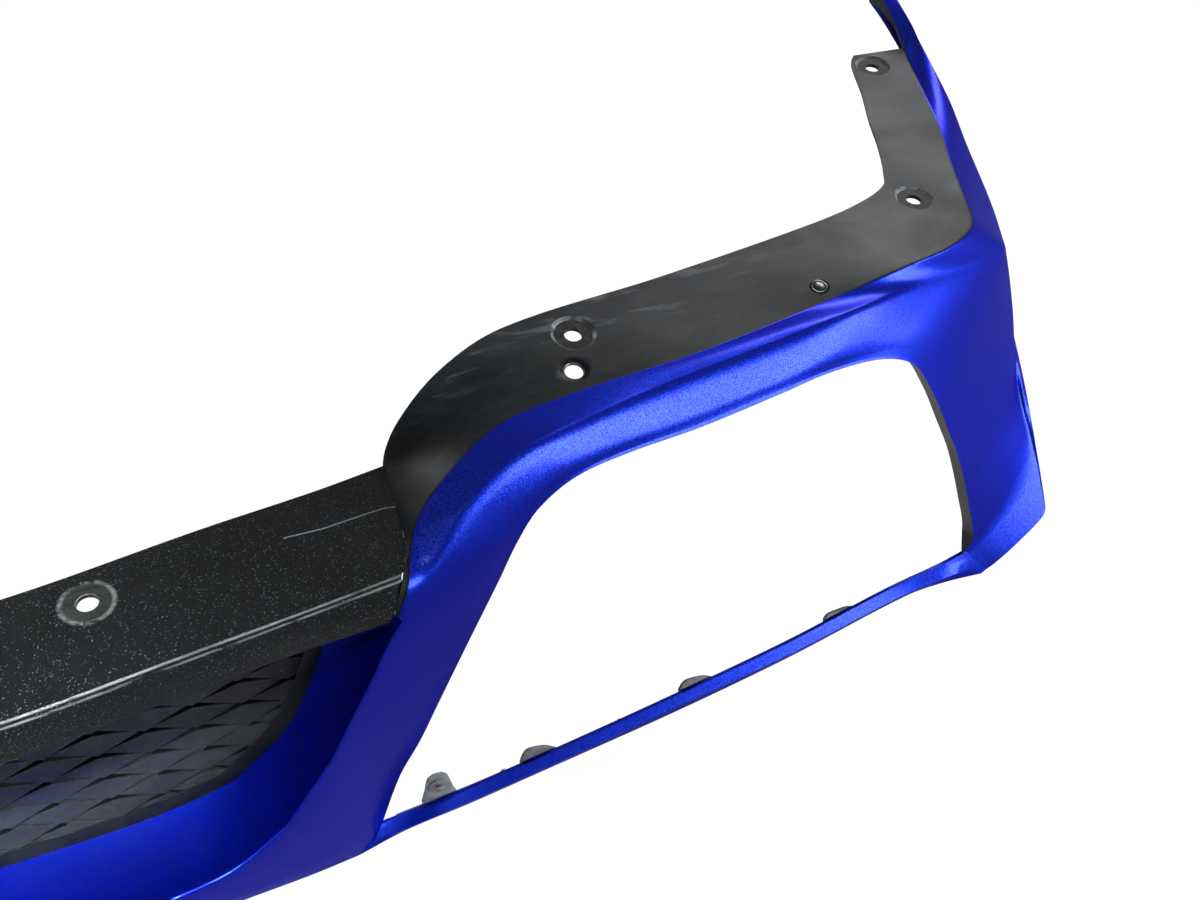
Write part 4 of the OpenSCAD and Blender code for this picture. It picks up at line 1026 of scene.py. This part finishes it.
def seat_tool(radius, slope, deep, hole):
    """A turned cutter: a sloping rim, a flat floor at depth deep and a hole through it."""
    wide = radius + TOOL_LIP
    profile = [(0, TOOL_TOP), (wide, TOOL_TOP), (wide, 0), (radius - slope, -deep),
               (hole, -deep), (hole, TOOL_END), (0, TOOL_END)]
    looks = [seat_rim_wear_and_highlight] * 3 + [seat_floor] + [back_plastic] * 2
    return turned("tool", profile, looks)


tools = on_both_sides(lambda: seat_tool(SEAT_R, SEAT_SLOPE, SEAT_DEEP, HOLE_R), seat_places)
tools += on_both_sides(lambda: seat_tool(CLIP_SEAT_R, CLIP_SLOPE, SEAT_DEEP, CLIP_HOLE_R), clip_at)
# The sunk rim of the plain hole takes the same rim finish: wear with a painted highlight.
sink = [(0, 3), (15.5, 3), (9.8, 0), (6.8, -1.1), (HOLE_R, -2.2), (HOLE_R, TOOL_END), (0, TOOL_END)]
sink_looks = [bare_plastic] * 3 + [seat_rim_wear_and_highlight] + [back_plastic] * 2
tools += on_both_sides(lambda: turned("tool", sink, sink_looks), hole_at)
combine(skin, join(tools, "tools"), "DIFFERENCE")
smooth(skin, SKIN_ANGLE)
print("skin with its holes has", len(skin.data.polygons), "faces")

# %% [markdown]
# ## Black bar
# The bar is laid the same way as the skin, from its own rows: rear edge, shelf, front,
# crease, face and lower return. Its crease is where it was rubbed in use, so V of its map
# is counted from the crease, and two lines of wear are drawn along it. Washers left a ring
# around each hole, and one scratch runs across the shelf on the side of +X alone.

# %% Bar finish
BAR_HOLE, BAR_LEAN = Vector((0.165, -0.154, 0.275)), math.radians(10)
WASHER_R, WASHER_HALF = 0.0144, 0.0019
SCRATCH_SLOPE, SCRATCH_AT, SCRATCH_FROM, SCRATCH_HALF = -0.112, 0.0919, 0.2535, 0.0007


def band_mask(tree, value, middle, half):
    """1 at middle, falling to 0 at half away from it."""
    away = add(tree, "Math", {"operation": "SUBTRACT", 1: middle}, i0=value)
    away = add(tree, "Math", {"operation": "ABSOLUTE"}, i0=away.outputs[0]).outputs[0]
    return ramp(tree, away, half, half * 0.25)


def above(tree, value, limit):
    """1 where value is above limit, and 0 elsewhere."""
    return add(tree, "Math", {"operation": "GREATER_THAN", 1: limit}, i0=value).outputs[0]


bar_black, tree, shader = new_material("bar_gloss_black")
silver = use_group(tree, flake, {"Size": 2000.0, "Tilt": 0.3, "Rare": 0.975})
rubbed = use_group(tree, scuff, {"Stretch": (0.12, 1, 1), "Size": 220.0, "From": 0.25, "To": 0.6})
long_rub = use_group(tree, scuff, {"Stretch": (0.12, 1, 1), "Size": 240.0, "From": 0.38, "To": 0.62})
ring_worn = use_group(tree, scuff, {"Size": 150.0, "From": 0.36, "To": 0.6})
clouded = use_group(tree, scuff, {"Size": 12.0, "From": 0.35, "To": 0.75})

place = add(tree, "TexCoord")
on_map = add(tree, "SeparateXYZ", None, Vector=place.outputs["UV"])
along, past_crease = on_map.outputs[0], on_map.outputs[1]
crease_wear = times(tree, band_mask(tree, past_crease, 0.0, 0.0011), rubbed.outputs["Mask"])
second_wear = times(tree, band_mask(tree, past_crease, 0.0034, 0.0012), long_rub.outputs["Mask"])
both_wear = add(tree, "Math", {"operation": "MAXIMUM"}, i0=crease_wear, i1=second_wear)

folded = add(tree, "VectorMath", {"operation": "ABSOLUTE"}, i0=place.outputs["Object"])
hole_folded = tuple(abs(c) for c in BAR_HOLE)
from_hole = add(tree, "VectorMath", {"operation": "DISTANCE", 1: hole_folded},
                i0=folded.outputs[0]).outputs["Value"]
washer = times(tree, band_mask(tree, from_hole, WASHER_R, WASHER_HALF), ring_worn.outputs["Mask"])
pressed = times(tree, ramp(tree, from_hole, 0.0145, 0.0135), rubbed.outputs["Mask"])

leaning = add(tree, "Math", {"operation": "MULTIPLY_ADD", 1: SCRATCH_SLOPE, 2: SCRATCH_AT},
              i0=along)
from_line = add(tree, "Math", {"operation": "ADD"}, i0=leaning.outputs[0], i1=past_crease)
scratch = times(tree, band_mask(tree, from_line.outputs[0], 0.0, SCRATCH_HALF),
                above(tree, along, SCRATCH_FROM))
sideways = add(tree, "SeparateXYZ", None, Vector=place.outputs["Object"]).outputs[0]
scratch = times(tree, scratch, above(tree, sideways, 0.0))

tone = two_tones(tree, (0.0008, 0.001, 0.0012), (0.0015, 0.002, 0.0023), clouded.outputs["Mask"])
for colour, mask in (((0.03, 0.035, 0.038), silver.outputs["Glint"]),
                     ((0.008, 0.009, 0.009), pressed), ((0.045, 0.05, 0.05), washer),
                     ((0.09, 0.10, 0.11), scratch), ((0.06, 0.068, 0.068), both_wear.outputs[0])):
    tone = over(tree, tone, colour, mask)
dress(tree, shader, Base_Color=tone, Normal=silver.outputs["Normal"], Roughness=0.4,
      Specular_IOR_Level=0.05, Coat_Weight=0.06, Coat_Roughness=0.12)

# %% Bar rows
bar_rows = [
    [(0, 87, 277), (122, 94, 278), (231, 110, 281), (300, 118, 283), (343, 123, 286)],
    [(0, 58, 272), (120, 65, 273), (228, 80, 275), (298, 86, 277), (341, 84, 277)],
    [(0, 30, 267), (118, 36, 268), (218, 49, 270), (285, 58, 272), (338, 59, 273)],
    [(0, 8, 263), (116, 13, 264), (210, 24, 266), (275, 32, 267), (331, 39, 269)],
    [(0, 8, 250), (116, 13, 251), (210, 24, 252), (270, 31, 253), (326, 35, 254)],
    [(0, 10, 233), (116, 15, 234), (210, 26, 236), (265, 33, 236), (317, 37, 236)],
]
BAR_RETURN, BAR_TUCK, BAR_END = 12, 12, 317
bar_rows.append([(x - BAR_TUCK * x / BAR_END, y + BAR_RETURN, z - 1) for x, y, z in bar_rows[5]])
bar_into = [Vector(d) * WALL for d in (
    (0, 0.15, -1), (0, 0.15, -1), (0, 0.15, -1), (0, 0.9, -0.9), (0, 1, 0), (0, 0.9, 0.7),
    (0, 0.1, 0.9))]
bar_lines = [curve(row, [], [14, 12, 8, 6]) for row in bar_rows]


def arc_at(before, tip, after, radius):
    """The whole arc that rounds a crease at tip."""
    first = half_arc(before, tip, after, radius)
    return first + half_arc(after, tip, before, radius)[-2::-1]


def bar_column(points):
    """Outer and inner points of the bar across one section, with both bends rounded."""
    top = curve(points[:4], [], [3, 3, 3])
    face = curve(points[3:6], [], [3, 3])
    crease = arc_at(top[-2], top[-1], face[1], 2.2)
    lower = arc_at(face[-2], face[-1], points[6], 3)
    outer = top[:-1] + crease + face[1:-1] + lower + [points[6]]
    rows = [i / 3 for i in range(9)] + [3] * len(crease) + [3 + i / 3 for i in range(1, 6)]
    rows += [5] * len(lower) + [6]
    inner = [p + mix(bar_into[int(r)], bar_into[min(int(r) + 1, 6)], r - int(r))
             for p, r in zip(outer, rows)]
    return outer, inner


CREASE_ROW = 12
END_GAP, END_MOVE, END_REACH = 0.15, 2.5, 0.03
bar_patch = [bar_column(points) for points in zip(*bar_lines)]
bar_last, bar_count = len(bar_patch) - 1, len(bar_patch[0][0])
before, end = bar_patch[-2][0], bar_patch[-1][0]
for j, point in enumerate(end):
    away = (point - before[j]).normalized()
    start = (before[j] + Vector((0, NOSE, 0))) * MM
    hit, spot_hit, _, _ = skin.ray_cast(start, away, distance=END_REACH)
    if hit:
        moved = spot_hit / MM - Vector((0, NOSE, 0)) - away * END_GAP - point
        moved *= min(1, END_MOVE / moved.length)
        end[j] = point + moved
        bar_patch[-1][1][j] = bar_patch[-1][1][j] + moved
shell = bmesh.new()
for flip in (False, True):
    lay(shell, bar_patch, [("low", 0, bar_last), ("high", 0, bar_last),
                           ("last", 0, bar_count - 1)], (0, 1, 0), flip, CREASE_ROW)
bmesh.ops.remove_doubles(shell, verts=shell.verts, dist=MERGE)
bmesh.ops.recalc_face_normals(shell, faces=shell.faces)
bar = piece_of(shell, "bar", [bar_black, back_plastic])
lean = Vector((0, -math.sin(BAR_LEAN), math.cos(BAR_LEAN)))
drill = [(0, 10), (7.4, 10), (7.0, 0.6), (HOLE_R, -0.6), (HOLE_R, -10), (0, -10)]
holes = on_both_sides(lambda: turned("drill", drill, [bar_black] * 3 + [back_plastic] * 2),
                      [(BAR_HOLE, lean)])
combine(bar, join(holes, "drills"), "DIFFERENCE")

# %% Web of the bar
RAIL, WEB_T, WEB_LIFT, NOTCH = 226, 3, 4, (145, 185)
NOTCH_DEEP, WEB_BOSS, NO_AREA = 23, 6, 1e-9
shelf_z = [(x, z - WALL / 2) for x, _, z in bar_rows[1]]


def web_top(x):
    """Height at which the web meets the underside of the shelf."""
    for (x0, z0), (x1, z1) in zip(shelf_z, shelf_z[1:]):
        if x <= x1:
            return z0 + (z1 - z0) * (x - x0) / (x1 - x0)
    return shelf_z[-1][1]


def web_column(x, top):
    front = [Vector((x, 79 - WEB_T, RAIL + WEB_LIFT)), Vector((x, 79 - WEB_T, top))]
    return front, [p + Vector((0, WEB_T, 0)) for p in front]


web = [web_column(x, web_top(x)) for x in (0, 58, 116, NOTCH[0])]
web += [web_column(x, web_top(BAR_HOLE.x / MM) - NOTCH_DEEP) for x in NOTCH]
web += [web_column(x, web_top(x)) for x in (NOTCH[1], 232, 290)]
shell = bmesh.new()
for flip in (False, True):
    lay(shell, web, [("low", 0, 8), ("high", 0, 8), ("last", 0, 1)], (0, 0, 0), flip)
flat = [face for face in shell.faces if face.calc_area() < NO_AREA]
bmesh.ops.delete(shell, geom=flat, context="FACES_ONLY")
bmesh.ops.remove_doubles(shell, verts=shell.verts, dist=MERGE)
bmesh.ops.recalc_face_normals(shell, faces=shell.faces)
web = piece_of(shell, "web", [back_plastic])
web_bosses = [screw_boss((lo + hi) / 2, 5, 2, MOUTH_Y - WEB_T - WEB_BOSS, MOUTH_Y - WEB_T / 2)
              for lo, hi in loose_boxes("bar_screws")]
bar = join([bar, web] + web_bosses, "bar")
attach(bar, "cover")
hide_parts("centre_bar")
smooth(bar, 30)
print("bar and web have", len(bar.data.polygons), "faces")

# %% [markdown]
# ## Grille
# Each diamond of the grille is folded along its short diagonal, which stands upright, so
# its two halves face left and right and catch the light differently. The solid has flat
# diamonds. The copy is cut along every short diagonal, and the tops of the diamonds are
# raised towards it: the lattice of cells tells how far a point is from the diagonal of its
# own diamond. The grooves between the diamonds are painted dark as painted shade.

# %% Grille finish
grille_grey, tree, shader = new_material("grille_grey")
dust = use_group(tree, scuff, {"Size": 60.0, "From": 0.35, "To": 0.7})
fine_dust = use_group(tree, scuff, {"Size": 500.0, "From": 0.58, "To": 0.75})
pebble = use_group(tree, grain, {"Size": 1100.0, "Depth": 0.2})
tone = two_tones(tree, (0.006, 0.0068, 0.007), (0.011, 0.0122, 0.0127), dust.outputs["Mask"])
tone = over(tree, tone, (0.035, 0.036, 0.037), fine_dust.outputs["Mask"])
dress(tree, shader, Base_Color=tone, Roughness=0.45, Specular_IOR_Level=0.08,
      Normal=pebble.outputs[0])

# The grooves take painted shade: a near-black finish that stands in for the shadow deep between the
# diamonds, its tone drifting at random.
groove_painted_shade, tree, shader = new_material("groove_painted_shade")
groove_shade_drift = use_group(tree, scuff, {"Size": 90.0, "From": 0.4, "To": 0.7})
tone = two_tones(tree, (0.0006, 0.0007, 0.0007), (0.002, 0.0022, 0.0022), groove_shade_drift.outputs["Mask"])
dress(tree, shader, Base_Color=tone, Roughness=0.7, Specular_IOR_Level=0.03)

# %% Fold the diamonds
CELL_W, CELL_H, MID_Z = 0.058, 0.019, 0.1575
FOLD, LOWERED, GROOVE = 0.0028, 0.001, 0.0012
grille = dressed_copy("grille_mesh", "grille")
mesh = bmesh.new()
mesh.from_mesh(grille.data)
reach = max(v.co.x for v in mesh.verts)
top_y = min(v.co.y for v in mesh.verts)
lines = int(reach / (CELL_W / 2)) + 1
for k in range(-lines, lines + 1):
    everything = list(mesh.verts) + list(mesh.edges) + list(mesh.faces)
    bmesh.ops.bisect_plane(mesh, geom=everything, dist=1e-6, plane_co=(k * CELL_W / 2, 0, 0),
                           plane_no=(1, 0, 0))
for vert in mesh.verts:
    if vert.co.y < top_y + 1e-5:
        a = vert.co.x / CELL_W + (vert.co.z - MID_Z) / CELL_H
        b = vert.co.x / CELL_W - (vert.co.z - MID_Z) / CELL_H
        away = abs(vert.co.x - (round(a) + round(b)) / 2 * CELL_W) / (CELL_W / 2)
        vert.co.y -= FOLD * (1 - away) - LOWERED
# Faces deeper than the tops of the diamonds take the painted shade of the grooves.
for face in mesh.faces:
    face.material_index = face.calc_center_median().y > top_y + GROOVE
mesh.to_mesh(grille.data)
mesh.free()
grille.data.materials.append(grille_grey)
grille.data.materials.append(groove_painted_shade)
soften(grille, 0.35, 20)
smooth(grille, 12)
print("folded grille has", len(grille.data.polygons), "faces")

# %% [markdown]
# ## Small pieces
# Frame, carriers, grommets, clips, pins and screws keep the shape of their solids. Merged
# copies get a small bevel, because no moulded edge is perfectly sharp, and their own
# finishes.

# %% Small finishes
def worn_plastic(name, dark, light, size, rough):
    """Plain plastic whose tone drifts between two shades."""
    material, tree, shader = new_material(name)
    drift = use_group(tree, scuff, {"Size": size, "From": 0.38, "To": 0.68})
    pebble = use_group(tree, grain, {"Size": 1300.0, "Depth": 0.12})
    tone = two_tones(tree, dark, light, drift.outputs["Mask"])
    dress(tree, shader, Base_Color=tone, Roughness=rough, Specular_IOR_Level=0.12,
          Normal=pebble.outputs[0])
    return material


frame_black = worn_plastic("frame_black", (0.001, 0.0012, 0.0013), (0.004, 0.0045, 0.005), 50, 0.4)
tab_grey = worn_plastic("tab_grey", (0.04, 0.043, 0.047), (0.075, 0.08, 0.085), 90, 0.5)
grommet_grey = worn_plastic("grommet_grey", (0.02, 0.021, 0.022), (0.08, 0.08, 0.08), 260, 0.45)
clip_black = worn_plastic("clip_black", (0.003, 0.0035, 0.004), (0.012, 0.013, 0.014), 300, 0.18)
screw_steel, tree, shader = new_material("screw_steel")
turned_marks = use_group(tree, scuff, {"Size": 300.0, "From": 0.35, "To": 0.7})
tone = two_tones(tree, (0.09, 0.09, 0.09), (0.28, 0.28, 0.27), turned_marks.outputs["Mask"])
dress(tree, shader, Base_Color=tone, Metallic=0.9, Roughness=0.38)

# %% Dress the small pieces
small = [
    ("grille_frame", "frame", "frame_black", frame_black, 0.6, "cover"),
    ("grille_screws", "frame_screws", "screw_steel", screw_steel, 0.2, "cover"),
    ("bar_screws", "web_screws", "screw_steel", screw_steel, 0.2, "cover"),
]
for hand in ("left", "right"):
    small += [
        (f"bezel_carrier_{hand}", f"carrier_{hand}", "carrier_grey", tab_grey, 0.5, "cover"),
        (f"carrier_screws_{hand}", f"strip_screws_{hand}", "screw_steel", screw_steel, 0.12,
         "cover"),
        (f"tab_grommet_{hand}", f"grommet_{hand}", "grommet_grey", grommet_grey, 0.25, "cover"),
        (f"flange_clip_{hand}", f"clip_{hand}", "clip_black", clip_black, 0.25, "cover"),
        (f"clip_pin_{hand}", f"pin_{hand}", "clip_black", clip_black, 0.35, f"pin_{hand}"),
    ]
for node, name, slot, finish, width, body in small:
    piece = dressed_copy(node, name, body)
    piece.data.materials.append(finish)
    soften(piece, width)
    smooth(piece, 30)
print("small pieces:", len(small))
